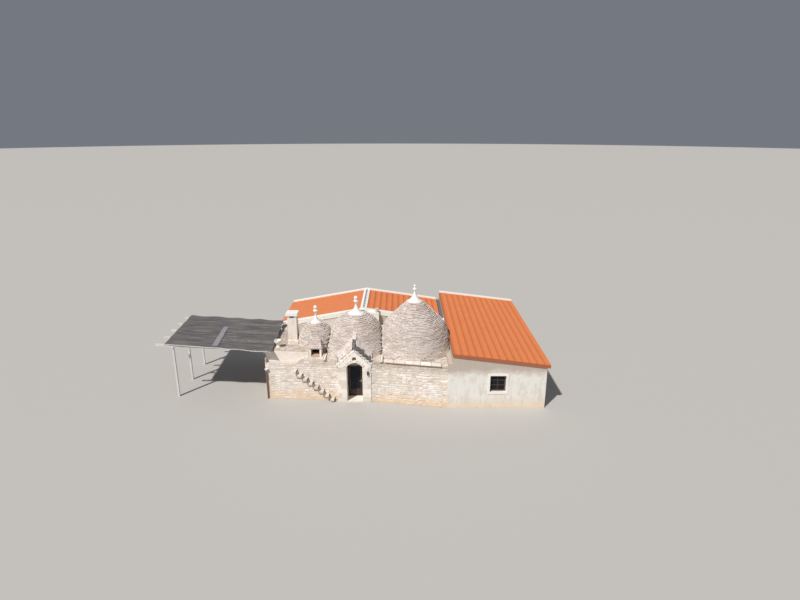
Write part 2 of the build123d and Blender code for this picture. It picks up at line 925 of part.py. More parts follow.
# Left cone: a small dome set off from its outside, cut by the middle cone's flank
with BuildPart() as left_cone:
    add(left_form.part)
    with BuildSketch(upright_plane(left_x - left_dome_shift, left_y)):
        with BuildLine():
            Line((0, wall_top), (left_dome_radius, wall_top))
            ThreePointArc(
                (left_dome_radius, wall_top),
                (left_dome_waist, wall_top + left_dome_rise / 2),
                (dome_keystone_radius, wall_top + left_dome_rise),
            )
            Line((dome_keystone_radius, wall_top + left_dome_rise), (0, wall_top + left_dome_rise))
            Line((0, wall_top + left_dome_rise), (0, wall_top))
        make_face()
    revolve(axis=upright_axis(left_x - left_dome_shift, left_y), mode=Mode.SUBTRACT)
    add(middle_form.part, mode=Mode.SUBTRACT)
    add(dormer_tunnel.part, mode=Mode.SUBTRACT)
left_cone.part.label = "left_cone"
export_step(left_cone.part, "parts/left_cone.step")


def pinnacle_profile(foot, cap_radius, cap_height, stem, ring_radius, ring_rise, ball_radius, ball_rise):
    """Half section of a pinnacle: a plaster cap with a hollow-curved flank, a stem, a ring and a ball."""
    cap_edge = (cap_radius + cap_lip, foot + cap_lip)
    flank_middle = (
        stem + cap_hollow * (cap_radius - stem),
        foot + cap_lip + cap_hollow * (cap_height - cap_lip),
    )
    ring_foot = (stem, foot + ring_rise - ring_thickness / 2)
    ring_head = (stem, foot + ring_rise + ring_thickness / 2)
    ball_foot = (stem, foot + ball_rise - sqrt(ball_radius**2 - stem**2))
    ball_head = (0, foot + ball_rise + ball_radius)
    with BuildSketch() as profile:
        with BuildLine():
            Polyline((0, foot), (cap_radius + cap_lip, foot), cap_edge)
            ThreePointArc(cap_edge, flank_middle, (stem, foot + cap_height))
            Line((stem, foot + cap_height), ring_foot)
            ThreePointArc(ring_foot, (ring_radius, foot + ring_rise), ring_head)
            Line(ring_head, ball_foot)
            ThreePointArc(ball_foot, (ball_radius, foot + ball_rise), ball_head)
            Line(ball_head, (0, foot))
        make_face()
    return profile.sketch


with BuildPart() as left_pinnacle:
    with BuildSketch(upright_plane(left_x, left_y)):
        add(
            pinnacle_profile(
                wall_top + left_top_rise,
                left_top_radius,
                left_cap_height,
                left_stem_radius,
                left_ring_radius,
                left_ring_rise,
                left_ball_radius,
                left_ball_rise,
            )
        )
    revolve(axis=upright_axis(left_x, left_y))
left_pinnacle.part.label = "left_pinnacle"
export_step(left_pinnacle.part, "parts/left_pinnacle.step")

with BuildPart() as middle_pinnacle:
    with BuildSketch(upright_plane(middle_x, middle_y)):
        add(
            pinnacle_profile(
                wall_top + middle_top_rise,
                middle_top_radius,
                middle_cap_height,
                middle_stem_radius,
                middle_ring_radius,
                middle_ring_rise,
                middle_ball_radius,
                middle_ball_rise,
            )
        )
    revolve(axis=upright_axis(middle_x, middle_y))
middle_pinnacle.part.label = "middle_pinnacle"
export_step(middle_pinnacle.part, "parts/middle_pinnacle.step")

with BuildPart() as right_pinnacle:
    with BuildSketch(upright_plane(right_x, right_y)):
        add(
            pinnacle_profile(
                wall_top + right_top_rise,
                right_top_radius,
                right_cap_height,
                right_stem_radius,
                right_ring_radius,
                right_ring_rise,
                right_ball_radius,
                right_ball_rise,
            )
        )
    revolve(axis=upright_axis(right_x, right_y))
right_pinnacle.part.label = "right_pinnacle"
export_step(right_pinnacle.part, "parts/right_pinnacle.step")

# Chimney of the left room: thick base, shaft and a slab on four short posts
chimney_top = wall_top + left_roof_height + chimney_height
with BuildPart() as chimney_stack:
    with BuildSketch(Plane.XY.offset(wall_top)):
        with Locations((chimney_x, chimney_y)):
            Rectangle(chimney_base_width, chimney_base_width)
    extrude(amount=chimney_base_rise)
    with BuildSketch(Plane.XY.offset(wall_top + chimney_base_rise)):
        with Locations((chimney_x, chimney_y)):
            Rectangle(chimney_width, chimney_width)
    extrude(amount=chimney_top - wall_top - chimney_base_rise)
    with BuildSketch(Plane.XY.offset(wall_top)):
        with Locations((chimney_x, chimney_y)):
            Rectangle(chimney_flue, chimney_flue)
    extrude(amount=chimney_top - wall_top, mode=Mode.SUBTRACT)
    add(left_roof.part, mode=Mode.SUBTRACT)
    add(left_form.part, mode=Mode.SUBTRACT)
chimney_stack.part.label = "chimney_stack"
export_step(chimney_stack.part, "parts/chimney_stack.step")

with BuildPart() as chimney_cap:
    with BuildSketch(Plane.XY.offset(chimney_top)):
        with Locations((chimney_x, chimney_y)):
            with GridLocations(chimney_width - chimney_post, chimney_width - chimney_post, 2, 2):
                Rectangle(chimney_post, chimney_post)
    extrude(amount=chimney_gap)
    with BuildSketch(Plane.XY.offset(chimney_top + chimney_gap)):
        with Locations((chimney_x, chimney_y)):
            Rectangle(chimney_slab_width, chimney_slab_width)
    extrude(amount=chimney_slab_thickness)
chimney_cap.part.label = "chimney_cap"
export_step(chimney_cap.part, "parts/chimney_cap.step")

# Stone vase on the roof's corner
vase_foot = wall_top + left_roof_height - left_roof_fall
vase_top = wall_top + left_roof_height + vase_height
with BuildPart() as roof_vase:
    with BuildSketch(upright_plane(vase_x, vase_y)):
        with BuildLine():
            Polyline(
                (0, vase_foot),
                (vase_foot_radius, vase_foot),
                (vase_foot_radius, vase_top - vase_height),
            )
            stem_arc = ThreePointArc(
                (vase_foot_radius, vase_top - vase_height),
                (vase_stem_radius, vase_top - vase_height + vase_stem_rise),
                (vase_stem_radius + vase_wall, vase_top - vase_height + vase_bowl_rise),
            )
            bowl = SagittaArc(stem_arc @ 1, (vase_rim_radius, vase_top), -vase_wall)
            Line(bowl @ 1, (vase_rim_radius - vase_wall, vase_top))
            bowl_inside = ThreePointArc(
                (vase_rim_radius - vase_wall, vase_top),
                (vase_bowl_middle_radius, vase_top - vase_bowl_middle_depth),
                (vase_bowl_floor_radius, vase_top - vase_bowl_depth),
            )
            Polyline(bowl_inside @ 1, (0, vase_top - vase_bowl_depth), (0, vase_foot))
        make_face()
    revolve(axis=upright_axis(vase_x, vase_y))
    add(left_roof.part, mode=Mode.SUBTRACT)
roof_vase.part.label = "roof_vase"
export_step(roof_vase.part, "parts/roof_vase.step")

# Pale slab course on the front wall, in front of the right cone
front_coping_left = valley_x + spout_width
front_coping_right = front_coping_left + front_coping_length
with BuildPart() as front_coping:
    with BuildSketch(Plane.XY.offset(wall_top)):
        Polygon(
            (front_coping_left, front_y(front_coping_left, wall_batter - front_coping_nosing)),
            (front_coping_right, front_y(front_coping_right, wall_batter - front_coping_nosing)),
            (front_coping_right, front_y(front_coping_right, wall_batter + front_coping_width)),
            (front_coping_left, front_y(front_coping_left, wall_batter + front_coping_width)),
        )
    extrude(amount=front_coping_thickness)
    add(right_form.part, mode=Mode.SUBTRACT)
front_coping.part.label = "front_coping"
export_step(front_coping.part, "parts/front_coping.step")

# Stone spouts at the foot of the valley and beside the dormer
with BuildPart() as rain_spouts:
    for spout_x in (valley_x, dormer_right + spout_width):
        with BuildSketch(Plane.XY.offset(wall_top)):
            with Locations((spout_x, front_y(spout_x, wall_batter - spout_projection))):
                Rectangle(spout_width, spout_length, align=(Align.CENTER, Align.MIN))
        extrude(amount=spout_height)
        with BuildSketch(Plane.XY.offset(wall_top + spout_height)):
            with Locations((spout_x, front_y(spout_x, wall_batter - spout_projection))):
                Rectangle(spout_width / 2, spout_length, align=(Align.CENTER, Align.MIN))
        extrude(amount=-spout_height / 2, mode=Mode.SUBTRACT)
    add(middle_form.part, mode=Mode.SUBTRACT)
    add(left_form.part, mode=Mode.SUBTRACT)
    add(right_form.part, mode=Mode.SUBTRACT)
rain_spouts.part.label = "rain_spouts"
export_step(rain_spouts.part, "parts/rain_spouts.step")

# Roof of the gabled block: two slopes that meet at the ridge
with BuildPart() as rear_roof_left:
    with BuildSketch(upright_plane(0, rear_face_y)):
        Polygon(
            (rear_left, left_eave_top),
            (rear_left, left_eave_top - roof_thickness),
            (ridge_x, ridge_top - roof_thickness),
            (ridge_x, ridge_top),
        )
    extrude(amount=-(rear_back_y - rear_face_y))
rear_roof_left.part.label = "rear_roof_left"
export_step(rear_roof_left.part, "parts/rear_roof_left.step")

with BuildPart() as rear_roof_right:
    with BuildSketch(upright_plane(0, rear_face_y)):
        Polygon(
            (ridge_x, ridge_top),
            (ridge_x, ridge_top - roof_thickness),
            (house_right, right_eave_top - roof_thickness),
            (house_right, right_eave_top),
        )
    extrude(amount=-(rear_back_y - rear_face_y))
rear_roof_right.part.label = "rear_roof_right"
export_step(rear_roof_right.part, "parts/rear_roof_right.step")

# Plastered copings on both gables and on the back of the lean-to roof;
# the front one has a leg in front and closes the end of the gutter
with BuildPart() as roof_copings:
    with BuildSketch(upright_plane(0, rear_face_y - coping_leg)):
        Polygon(
            (rear_left, left_eave_top),
            (ridge_x, ridge_top),
            (house_right, right_eave_top),
            (annex_left, right_eave_top),
            (annex_left, right_eave_top + coping_rise),
            (house_right, right_eave_top + coping_rise),
            (ridge_x, ridge_top + coping_rise),
            (rear_left, left_eave_top + coping_rise),
        )
    extrude(amount=-coping_leg - coping_width)
    with BuildSketch(upright_plane(0, rear_face_y - coping_leg)):
        Polygon(
            (rear_left, left_eave_top),
            (rear_left, left_eave_top - roof_thickness),
            (ridge_x, ridge_top - roof_thickness),
            (house_right, right_eave_top - roof_thickness),
            (house_right, right_eave_top),
            (ridge_x, ridge_top),
        )
    extrude(amount=-coping_leg)
    with BuildSketch(upright_plane(0, rear_face_y - coping_leg)):
        Polygon(
            (house_right, gutter_seat),
            (annex_left, gutter_seat),
            (annex_left, right_eave_top),
            (house_right, right_eave_top),
        )
    extrude(amount=-coping_leg - coping_width)
    with BuildSketch(upright_plane(0, rear_back_y)):
        Polygon(
            (rear_left, left_eave_top),
            (ridge_x, ridge_top),
            (house_right, right_eave_top),
            (house_right, right_eave_top + coping_rise),
            (ridge_x, ridge_top + coping_rise),
            (rear_left, left_eave_top + coping_rise),
        )
    extrude(amount=coping_width)
    with BuildSketch(upright_plane(0, rear_back_y)):
        Polygon(
            (annex_left, annex_roof_high),
            (annex_roof_edge, annex_roof_low),
            (annex_roof_edge, annex_roof_low + coping_rise),
            (annex_left, annex_roof_high + coping_rise),
        )
    extrude(amount=coping_width)
    add(left_roof.part, mode=Mode.SUBTRACT)
    add(west_wall.part, mode=Mode.SUBTRACT)
roof_copings.part.label = "roof_copings"
export_step(roof_copings.part, "parts/roof_copings.step")

# Mortar strip along the ridge, with a rounded row of tiles let into it
ridge_half = ridge_width / 2
ridge_start_y = rear_face_y + coping_width
ridge_length = rear_back_y - rear_face_y - 2 * coping_width
with BuildPart() as ridge_tiles:
    with BuildSketch(upright_plane(ridge_x, ridge_start_y)):
        with Locations((0, ridge_top + ridge_rise / 2)):
            Circle(ridge_tile_radius)
        with Locations((0, ridge_top + ridge_rise / 2)):
            Rectangle(
                2 * ridge_tile_radius,
                ridge_tile_radius,
                align=(Align.CENTER, Align.MAX),
                mode=Mode.SUBTRACT,
            )
    extrude(amount=-ridge_length)
ridge_tiles.part.label = "ridge_tiles"
export_step(ridge_tiles.part, "parts/ridge_tiles.step")

with BuildPart() as ridge_mortar:
    with BuildSketch(upright_plane(ridge_x, ridge_start_y)):
        Polygon(
            (-ridge_half, rear_roof_top(ridge_x - ridge_half)),
            (0, ridge_top),
            (ridge_half, rear_roof_top(ridge_x + ridge_half)),
            (ridge_half, rear_roof_top(ridge_x + ridge_half) + ridge_rise),
            (0, ridge_top + ridge_rise),
            (-ridge_half, rear_roof_top(ridge_x - ridge_half) + ridge_rise),
        )
    extrude(amount=-ridge_length)
    add(ridge_tiles.part, mode=Mode.SUBTRACT)
ridge_mortar.part.label = "ridge_mortar"
export_step(ridge_mortar.part, "parts/ridge_mortar.step")

# Box gutter between the gabled roof and the lean-to block
with BuildPart() as box_gutter:
    with BuildSketch(upright_plane(house_right, rear_face_y + coping_width)):
        Polygon(
            (0, gutter_seat),
            (annex_step, gutter_seat),
            (annex_step, gutter_seat + gutter_height),
            (annex_step - gutter_wall, gutter_seat + gutter_height),
            (annex_step - gutter_wall, gutter_seat + gutter_wall),
            (gutter_wall, gutter_seat + gutter_wall),
            (gutter_wall, gutter_seat + gutter_height),
            (0, gutter_seat + gutter_height),
        )
    extrude(amount=-(rear_back_y - rear_face_y - coping_width))
box_gutter.part.label = "box_gutter"
export_step(box_gutter.part, "parts/box_gutter.step")

# Small flue against the front gable, with a round pot
flue_middle_y = rear_face_y - coping_leg - flue_depth / 2
with BuildPart() as flue_block:
    with BuildSketch(Plane.XY.offset(wall_top)):
        with Locations((flue_x, flue_middle_y)):
            Rectangle(flue_width, flue_depth)
        with Locations((flue_pot_x, flue_middle_y)):
            Rectangle(flue_shaft, flue_shaft, mode=Mode.SUBTRACT)
    extrude(amount=flue_top - wall_top)
flue_block.part.label = "flue_block"
export_step(flue_block.part, "parts/flue_block.step")

with BuildPart() as flue_pot:
    with BuildSketch(Plane.XY.offset(flue_top)):
        with Locations((flue_pot_x, flue_middle_y)):
            Circle(flue_pot_radius)
            Circle(flue_shaft / 2, mode=Mode.SUBTRACT)
    extrude(amount=flue_pot_height)
flue_pot.part.label = "flue_pot"
export_step(flue_pot.part, "parts/flue_pot.step")

# Roof of the lean-to block
with BuildPart() as annex_roof:
    with BuildSketch(upright_plane(0, front_right_y - annex_verge)):
        Polygon(
            (annex_left, annex_roof_high),
            (annex_left, annex_roof_high - annex_roof_thickness),
            (annex_roof_edge, annex_roof_low - annex_roof_thickness),
            (annex_roof_edge, annex_roof_low),
        )
    extrude(amount=-(rear_back_y - front_right_y + annex_verge))
annex_roof.part.label = "annex_roof"
export_step(annex_roof.part, "parts/annex_roof.step")

# Window surrounds, sashes and panes
with BuildPart() as window_surrounds:
    for face in window_faces:
        with BuildSketch(face):
            with Locations((0, window_height / 2)):
                Rectangle(window_width + 2 * window_border, window_height + 2 * window_border)
                Rectangle(window_width, window_height, mode=Mode.SUBTRACT)
        extrude(amount=window_border_projection)
window_surrounds.part.label = "window_surrounds"
export_step(window_surrounds.part, "parts/window_surrounds.step")

with BuildPart() as window_sashes:
    for face in window_faces:
        with BuildSketch(face.offset(-sash_setback)):
            with Locations((0, window_height / 2)):
                Rectangle(window_width, window_height)
                Rectangle(window_width - 2 * sash_width, window_height - 2 * sash_width, mode=Mode.SUBTRACT)
        extrude(amount=-sash_thickness)
window_sashes.part.label = "window_sashes"
export_step(window_sashes.part, "parts/window_sashes.step")

with BuildPart() as window_panes:
    for face in window_faces:
        with BuildSketch(face.offset(-sash_setback - sash_thickness / 2)):
            with Locations((0, window_height / 2)):
                Rectangle(window_width - 2 * sash_width, window_height - 2 * sash_width)
        extrude(amount=-pane_thickness)
window_panes.part.label = "window_panes"
export_step(window_panes.part, "parts/window_panes.step")

# Door frame: two posts behind the rebate, a transom and an arched head
frame_half_width = door_half_width - frame_overlap
frame_back_y = rebate_y + frame_thickness
frame_crown = portal_spring + door_arch_rise - frame_overlap
hinge_x = -frame_half_width + door_gap / 2
hinge_y = frame_back_y + hinge_offset
with BuildPart() as door_frame:
    with BuildSketch(upright_plane(0, rebate_y)):
        add(
            arched_opening(
                rebate_half_width,
                floor_thickness,
                portal_spring,
                portal_spring + door_arch_rise + door_rebate,
            )
        )
        add(arched_opening(frame_half_width, 0, portal_spring, frame_crown), mode=Mode.SUBTRACT)
        with Locations((0, leaf_top + door_gap)):
            Rectangle(2 * frame_half_width, transom_height, align=(Align.CENTER, Align.MIN))
    extrude(amount=-frame_thickness)
    for level in hinge_levels:
        with BuildSketch(Plane.XY.offset(level)):
            with Locations((hinge_x, hinge_y)):
                Circle(hinge_radius)
            with Locations((hinge_x - door_gap / 2, hinge_y)):
                Rectangle(hinge_radius - door_gap / 2, hinge_offset, align=(Align.MAX, Align.MAX))
        extrude(amount=hinge_length / 2)
        with BuildSketch(Plane.XY.offset(level + hinge_length / 2)):
            with Locations((hinge_x, hinge_y)):
                Circle(hinge_pin_radius)
        extrude(amount=hinge_pin_length)
door_frame.part.label = "door_frame"
export_step(door_frame.part, "parts/door_frame.step")

with BuildPart() as fanlight_glass:
    with BuildSketch(upright_plane(0, rebate_y + (frame_thickness - glass_thickness) / 2)):
        add(
            arched_opening(
                frame_half_width, leaf_top + door_gap + transom_height, portal_spring, frame_crown
            )
        )
    extrude(amount=-glass_thickness)
fanlight_glass.part.label = "fanlight_glass"
export_step(fanlight_glass.part, "parts/fanlight_glass.step")

# Door leaf: a glazed timber leaf that hangs on two lift-off hinges and opens into the room
leaf_left = -frame_half_width + door_gap
leaf_right = frame_half_width - closing_gap
leaf_foot = floor_thickness + door_gap
leaf_front_y = frame_back_y - leaf_thickness
light_left = leaf_left + leaf_stile
light_right = leaf_right - leaf_stile
light_foot = leaf_foot + leaf_bottom_rail
light_top = leaf_top - leaf_stile
with BuildPart() as door_leaf:
    with BuildSketch(upright_plane(0, leaf_front_y)):
        Polygon(
            (leaf_left, leaf_foot),
            (leaf_right, leaf_foot),
            (leaf_right, leaf_top),
            (leaf_left, leaf_top),
        )
        Polygon(
            (light_left, light_foot),
            (light_right, light_foot),
            (light_right, light_top),
            (light_left, light_top),
            mode=Mode.SUBTRACT,
        )
    extrude(amount=-leaf_thickness)
    for level in hinge_levels:
        with BuildSketch(Plane.XY.offset(level + hinge_length / 2 + hinge_play)):
            with Locations((hinge_x, hinge_y)):
                Circle(hinge_radius)
            with Locations((leaf_left, hinge_y)):
                Rectangle(hinge_radius - door_gap / 2, hinge_offset, align=(Align.MIN, Align.MAX))
            with Locations((hinge_x, hinge_y)):
                Circle(hinge_pin_radius + hinge_play, mode=Mode.SUBTRACT)
        extrude(amount=hinge_length / 2 - hinge_play)
door_leaf.part.label = "door_leaf"
export_step(door_leaf.part, "parts/door_leaf.step")

with BuildPart() as door_glass:
    with BuildSketch(upright_plane(0, leaf_front_y + (leaf_thickness - glass_thickness) / 2)):
        Polygon(
            (light_left, light_foot),
            (light_right, light_foot),
            (light_right, light_top),
            (light_left, light_top),
        )
    extrude(amount=-glass_thickness)
door_glass.part.label = "door_glass"
export_step(door_glass.part, "parts/door_glass.step")

# Lever handles on both faces of the leaf
handle_x = leaf_right - handle_inset
with BuildPart() as door_handle:
    for face_y, out in ((leaf_front_y, 1), (frame_back_y, -1)):
        with BuildSketch(upright_plane(handle_x, face_y)):
            with Locations((0, handle_level)):
                Rectangle(handle_plate_width, handle_plate_height)
        extrude(amount=out * handle_plate_thickness)
        with BuildSketch(upright_plane(handle_x, face_y)):
            with Locations((0, handle_level)):
                Circle(handle_thickness / 2)
        extrude(amount=out * handle_reach)
        with BuildSketch(upright_plane(handle_x, face_y - out * handle_reach)):
            with Locations((handle_thickness / 2, handle_level)):
                Rectangle(handle_length, handle_thickness, align=(Align.MAX, Align.CENTER))
        extrude(amount=-out * handle_thickness)
door_handle.part.label = "door_handle"
export_step(door_handle.part, "parts/door_handle.step")

# Lantern on an arm beside the door
lantern_y = portal_front_y - lantern_reach
lantern_top = lantern_level + lantern_height
bar_ring = lantern_glass_radius + lantern_bar / 2
with BuildPart() as wall_lantern:
    with BuildSketch(Plane.XY.offset(lantern_level)):
        with Locations((lantern_x, lantern_y)):
            Circle(lantern_radius)
    extrude(amount=lantern_plate)
    with BuildSketch(Plane.XY.offset(lantern_level)):
        with Locations((lantern_x, lantern_y)):
            with PolarLocations(bar_ring, 4, start_angle=45):
                Rectangle(lantern_bar, lantern_bar)
    extrude(amount=lantern_height)
    with BuildSketch(Plane.XY.offset(lantern_top)):
        with Locations((lantern_x, lantern_y)):
            Circle(lantern_radius + lantern_bar)
    with BuildSketch(Plane.XY.offset(lantern_top + lantern_radius)):
        with Locations((lantern_x, lantern_y)):
            Circle(lantern_bar)
    loft()
    with BuildSketch(upright_plane(lantern_x, portal_front_y)):
        with Locations((0, lantern_top)):
            Rectangle(2 * lantern_radius / 3, 2 * lantern_radius)
    extrude(amount=lantern_plate)
    with BuildSketch(upright_plane(lantern_x, portal_front_y)):
        with Locations((0, lantern_top + lantern_radius / 2)):
            Rectangle(lantern_plate, lantern_plate)
    extrude(amount=lantern_reach)
wall_lantern.part.label = "wall_lantern"
export_step(wall_lantern.part, "parts/wall_lantern.step")

with BuildPart() as lantern_glass:
    with BuildSketch(Plane.XY.offset(lantern_level + lantern_plate)):
        with Locations((lantern_x, lantern_y)):
            Circle(lantern_glass_radius)
    extrude(amount=lantern_height - lantern_plate)
lantern_glass.part.label = "lantern_glass"
export_step(lantern_glass.part, "parts/lantern_glass.step")

# Downpipe with two clips, under an open hopper
pipe_x = house_left + pipe_inset
pipe_y = front_y(pipe_x) - pipe_radius - pipe_stand_off
with BuildPart() as downpipe:
    with BuildSketch():
        with Locations((pipe_x, pipe_y)):
            Circle(pipe_radius)
    extrude(amount=hopper_level)
    for level in pipe_clip_levels:
        with BuildSketch(Plane.XY.offset(level)):
            with Locations((pipe_x, pipe_y)):
                Rectangle(
                    pipe_radius, pipe_radius + pipe_stand_off + wall_batter, align=(Align.CENTER, Align.MIN)
                )
        extrude(amount=pipe_radius)
    add(front_wall_left.part, mode=Mode.SUBTRACT)
downpipe.part.label = "downpipe"
export_step(downpipe.part, "parts/downpipe.step")

with BuildPart() as rain_hopper:
    with BuildSketch(upright_plane(pipe_x, pipe_y)):
        Polygon(
            (0, hopper_level),
            (pipe_radius, hopper_level),
            (hopper_radius, hopper_level + hopper_height),
            (hopper_radius - hopper_wall, hopper_level + hopper_height),
            (pipe_radius - hopper_wall, hopper_level + hopper_wall),
            (0, hopper_level + hopper_wall),
        )
    revolve(axis=upright_axis(pipe_x, pipe_y))
    add(front_wall_left.part, mode=Mode.SUBTRACT)
rain_hopper.part.label = "rain_hopper"
export_step(rain_hopper.part, "parts/rain_hopper.step")


def rafter_foot(x):
    """Level of the rafters' underside."""
    return pergola_low + (pergola_right - x) / (pergola_right - pergola_left) * pergola_rise


# Pergola: rafters that fall towards the house, on a ledger and a beam with three posts
rafter_run = (rafter_count - 1) * rafter_spacing
with BuildPart() as pergola_rafters:
    for number in range(rafter_count):
        rafter_y = pergola_front_y + number * rafter_spacing
        with BuildSketch(upright_plane(0, rafter_y - rafter_width / 2)):
            Polygon(
                (pergola_left, rafter_foot(pergola_left)),
                (pergola_right, rafter_foot(pergola_right)),
                (pergola_right, rafter_foot(pergola_right) + rafter_height),
                (pergola_left, rafter_foot(pergola_left) + rafter_height),
            )
        extrude(amount=-rafter_width)
pergola_rafters.part.label = "pergola_rafters"
export_step(pergola_rafters.part, "parts/pergola_rafters.step")

post_top = rafter_foot(post_x) - rafter_height
with BuildPart() as pergola_beams:
    for beam_left, beam_right in (
        (house_left - rafter_width, house_left),
        (post_x - post_width / 2, post_x + post_width / 2),
    ):
        with BuildSketch(upright_plane(0, pergola_front_y - rafter_width / 2)):
            Polygon(
                (beam_left, rafter_foot(beam_right) - rafter_height),
                (beam_right, rafter_foot(beam_right) - rafter_height),
                (beam_right, rafter_foot(beam_right)),
                (beam_left, rafter_foot(beam_left)),
            )
        extrude(amount=-rafter_run - rafter_width)
pergola_beams.part.label = "pergola_beams"
export_step(pergola_beams.part, "parts/pergola_beams.step")

beam_foot = rafter_foot(post_x + post_width / 2) - rafter_height
with BuildPart() as pergola_posts:
    with BuildSketch():
        with Locations(
            *[
                (post_x, pergola_front_y + share * (rafter_run - post_width) + post_width / 2)
                for share in (0, 0.5, 1)
            ]
        ):
            Rectangle(post_width, post_width)
    extrude(amount=beam_foot)
pergola_posts.part.label = "pergola_posts"
export_step(pergola_posts.part, "parts/pergola_posts.step")

# Shade cloth stretched over the rafters, cut askew at its left end
cloth_plane = Plane(
    origin=(pergola_right, pergola_front_y - rafter_width / 2, pergola_low + rafter_height),
    x_dir=(pergola_left - pergola_right, 0, pergola_rise),
    z_dir=(pergola_rise, 0, pergola_right - pergola_left),
)
cloth_length = sqrt((pergola_right - pergola_left) ** 2 + pergola_rise**2)
with BuildPart() as pergola_canopy:
    with BuildSketch(cloth_plane):
        Polygon(
            (0, 0),
            (cloth_length - canopy_inset - canopy_skew, 0),
            (cloth_length - canopy_inset, -rafter_run - rafter_width),
            (0, -rafter_run - rafter_width),
        )
    extrude(amount=canopy_thickness)
pergola_canopy.part.label = "pergola_canopy"
export_step(pergola_canopy.part, "parts/pergola_canopy.step")
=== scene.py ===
"""Looks of the trullo house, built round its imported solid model: stone courses, tiles, cloth and finishes."""

import math

import bpy
import numpy as np
from bpy.props import FloatProperty, FloatVectorProperty, IntProperty, PointerProperty
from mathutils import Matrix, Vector


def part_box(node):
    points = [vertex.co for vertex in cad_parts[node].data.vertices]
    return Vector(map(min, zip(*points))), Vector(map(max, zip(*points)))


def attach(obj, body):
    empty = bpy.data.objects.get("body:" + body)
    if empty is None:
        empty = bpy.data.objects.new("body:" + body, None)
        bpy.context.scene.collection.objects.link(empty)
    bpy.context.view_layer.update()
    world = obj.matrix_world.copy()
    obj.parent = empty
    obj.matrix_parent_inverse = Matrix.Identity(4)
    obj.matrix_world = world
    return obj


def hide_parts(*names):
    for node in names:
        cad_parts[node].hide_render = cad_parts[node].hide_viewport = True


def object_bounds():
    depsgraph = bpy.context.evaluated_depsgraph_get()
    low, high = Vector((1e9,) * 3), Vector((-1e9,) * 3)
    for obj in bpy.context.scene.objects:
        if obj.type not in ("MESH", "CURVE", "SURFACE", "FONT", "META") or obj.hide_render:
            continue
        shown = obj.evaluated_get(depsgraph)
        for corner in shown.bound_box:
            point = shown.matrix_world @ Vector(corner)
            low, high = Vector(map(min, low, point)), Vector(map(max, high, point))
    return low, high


bl_info = {
    "name": "Trullo house",
    "version": (1, 0, 0),
    "blender": (4, 5, 0),
    "location": "View3D > Sidebar > Trullo",
    "description": "Stone courses, tiles, cloth and finishes of a trullo house",
    "category": "Add Mesh",
}

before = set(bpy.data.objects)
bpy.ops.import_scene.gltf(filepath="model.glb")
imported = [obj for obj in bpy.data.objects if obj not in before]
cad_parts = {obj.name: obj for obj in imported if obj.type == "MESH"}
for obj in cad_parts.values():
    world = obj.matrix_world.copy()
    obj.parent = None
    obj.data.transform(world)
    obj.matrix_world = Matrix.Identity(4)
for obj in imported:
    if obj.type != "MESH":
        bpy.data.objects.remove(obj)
CAD_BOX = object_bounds()

# Directions, and the range of random phases
RIGHT = (1.0, 0, 0)
BACKWARD = (0, 1.0, 0)
UP = (0, 0, 1.0)
FULL_PHASE = 6.28

# Levels and lines of the house, read from the solid model
WALL_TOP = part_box("west_wall")[1].z
HOUSE_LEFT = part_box("west_wall")[0].x
HOUSE_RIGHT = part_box("front_wall_right")[1].x
PORTAL_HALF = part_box("portal_jambs")[1].x
PORTAL_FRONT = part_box("portal_jambs")[0].y
PORTAL_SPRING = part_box("portal_jambs")[1].z
REAR_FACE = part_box("dividing_wall")[0].y
REAR_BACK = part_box("rear_north_wall")[1].y
RIDGE_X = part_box("rear_roof_left")[1].x
RIDGE_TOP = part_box("rear_roof_left")[1].z
REAR_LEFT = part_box("rear_roof_left")[0].x
ANNEX_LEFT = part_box("annex_roof")[0].x
ANNEX_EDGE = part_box("annex_roof")[1].x
DORMER_MIDDLE = (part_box("dormer")[0].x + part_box("dormer")[1].x) / 2
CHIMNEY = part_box("chimney_stack")
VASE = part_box("roof_vase")

# The front wall: two straight runs in plan, leaning back, with long and short blocks at its left corner
FRONT_LEFT_Y = -1.7
FRONT_SLOPE = -0.065
FRONT_KINK_Y = FRONT_LEFT_Y + FRONT_SLOPE * (PORTAL_HALF - HOUSE_LEFT)
FRONT_RIGHT_Y = -2.9
WALL_LEAN = 0.06 / WALL_TOP
PORTAL_SWING = 0.7
ALONG_FRONT = (1.0, FRONT_SLOPE, 0)
CORNER_LONG, CORNER_SHORT, CORNER_RISE = 0.44, 0.27, 0.277

# The ledge on the left front wall, the plaster band over it, and the front end of the left wall
LEDGE_DROP, LEDGE_LEFT, LEDGE_RIGHT = 0.33, -2.95, -0.5
BAND_RISE, BAND_RIGHT = 0.32, -2.66
LEFT_WALL_FRONT = -1.66

# How many courses of slabs each cone has
CONE_COURSES = {"left": 22, "middle": 30, "right": 40}

# The flat stone roofs: where they meet, start and end, the left one's fall, and what stands on them
LEFT_ROOF_RIGHT, DECK_LEFT = -2.65, -2.64
LEFT_ROOF_RUN, DECK_RUN = 5.4, 6.8
LEFT_ROOF_SETBACK, DECK_SETBACK, LEFT_ROOF_FALL = 0.31, 0.07, 0.25
DORMER_SPAN, DORMER_BACK, DORMER_TOP = (DORMER_MIDDLE - 0.40, DORMER_MIDDLE + 0.40), -0.4, 3.07
COPING_SPAN = (1.65, 4.95)

# Tiled roofs: the levels of their lower and upper edges, the ridge, and the tiles
REAR_EAVE_LEFT, REAR_EAVE_RIGHT, ANNEX_EAVE, ANNEX_HEAD = 2.56, 2.80, 2.65, 3.33
ANNEX_FRONT = -2.95
COPING_DEPTH = 0.32
RIDGE_HALF = 0.215
RIDGE_COUNT = 12
TILE_COURSES = {"rear_tiles_left": 13, "rear_tiles_right": 12, "lean_to_tiles": 13}
TILE_BASE, TILE_STEP, TILE_CHANNEL, TILE_GAP, TILE_LAP = 0.016, 0.025, 0.011, 0.004, 0.014

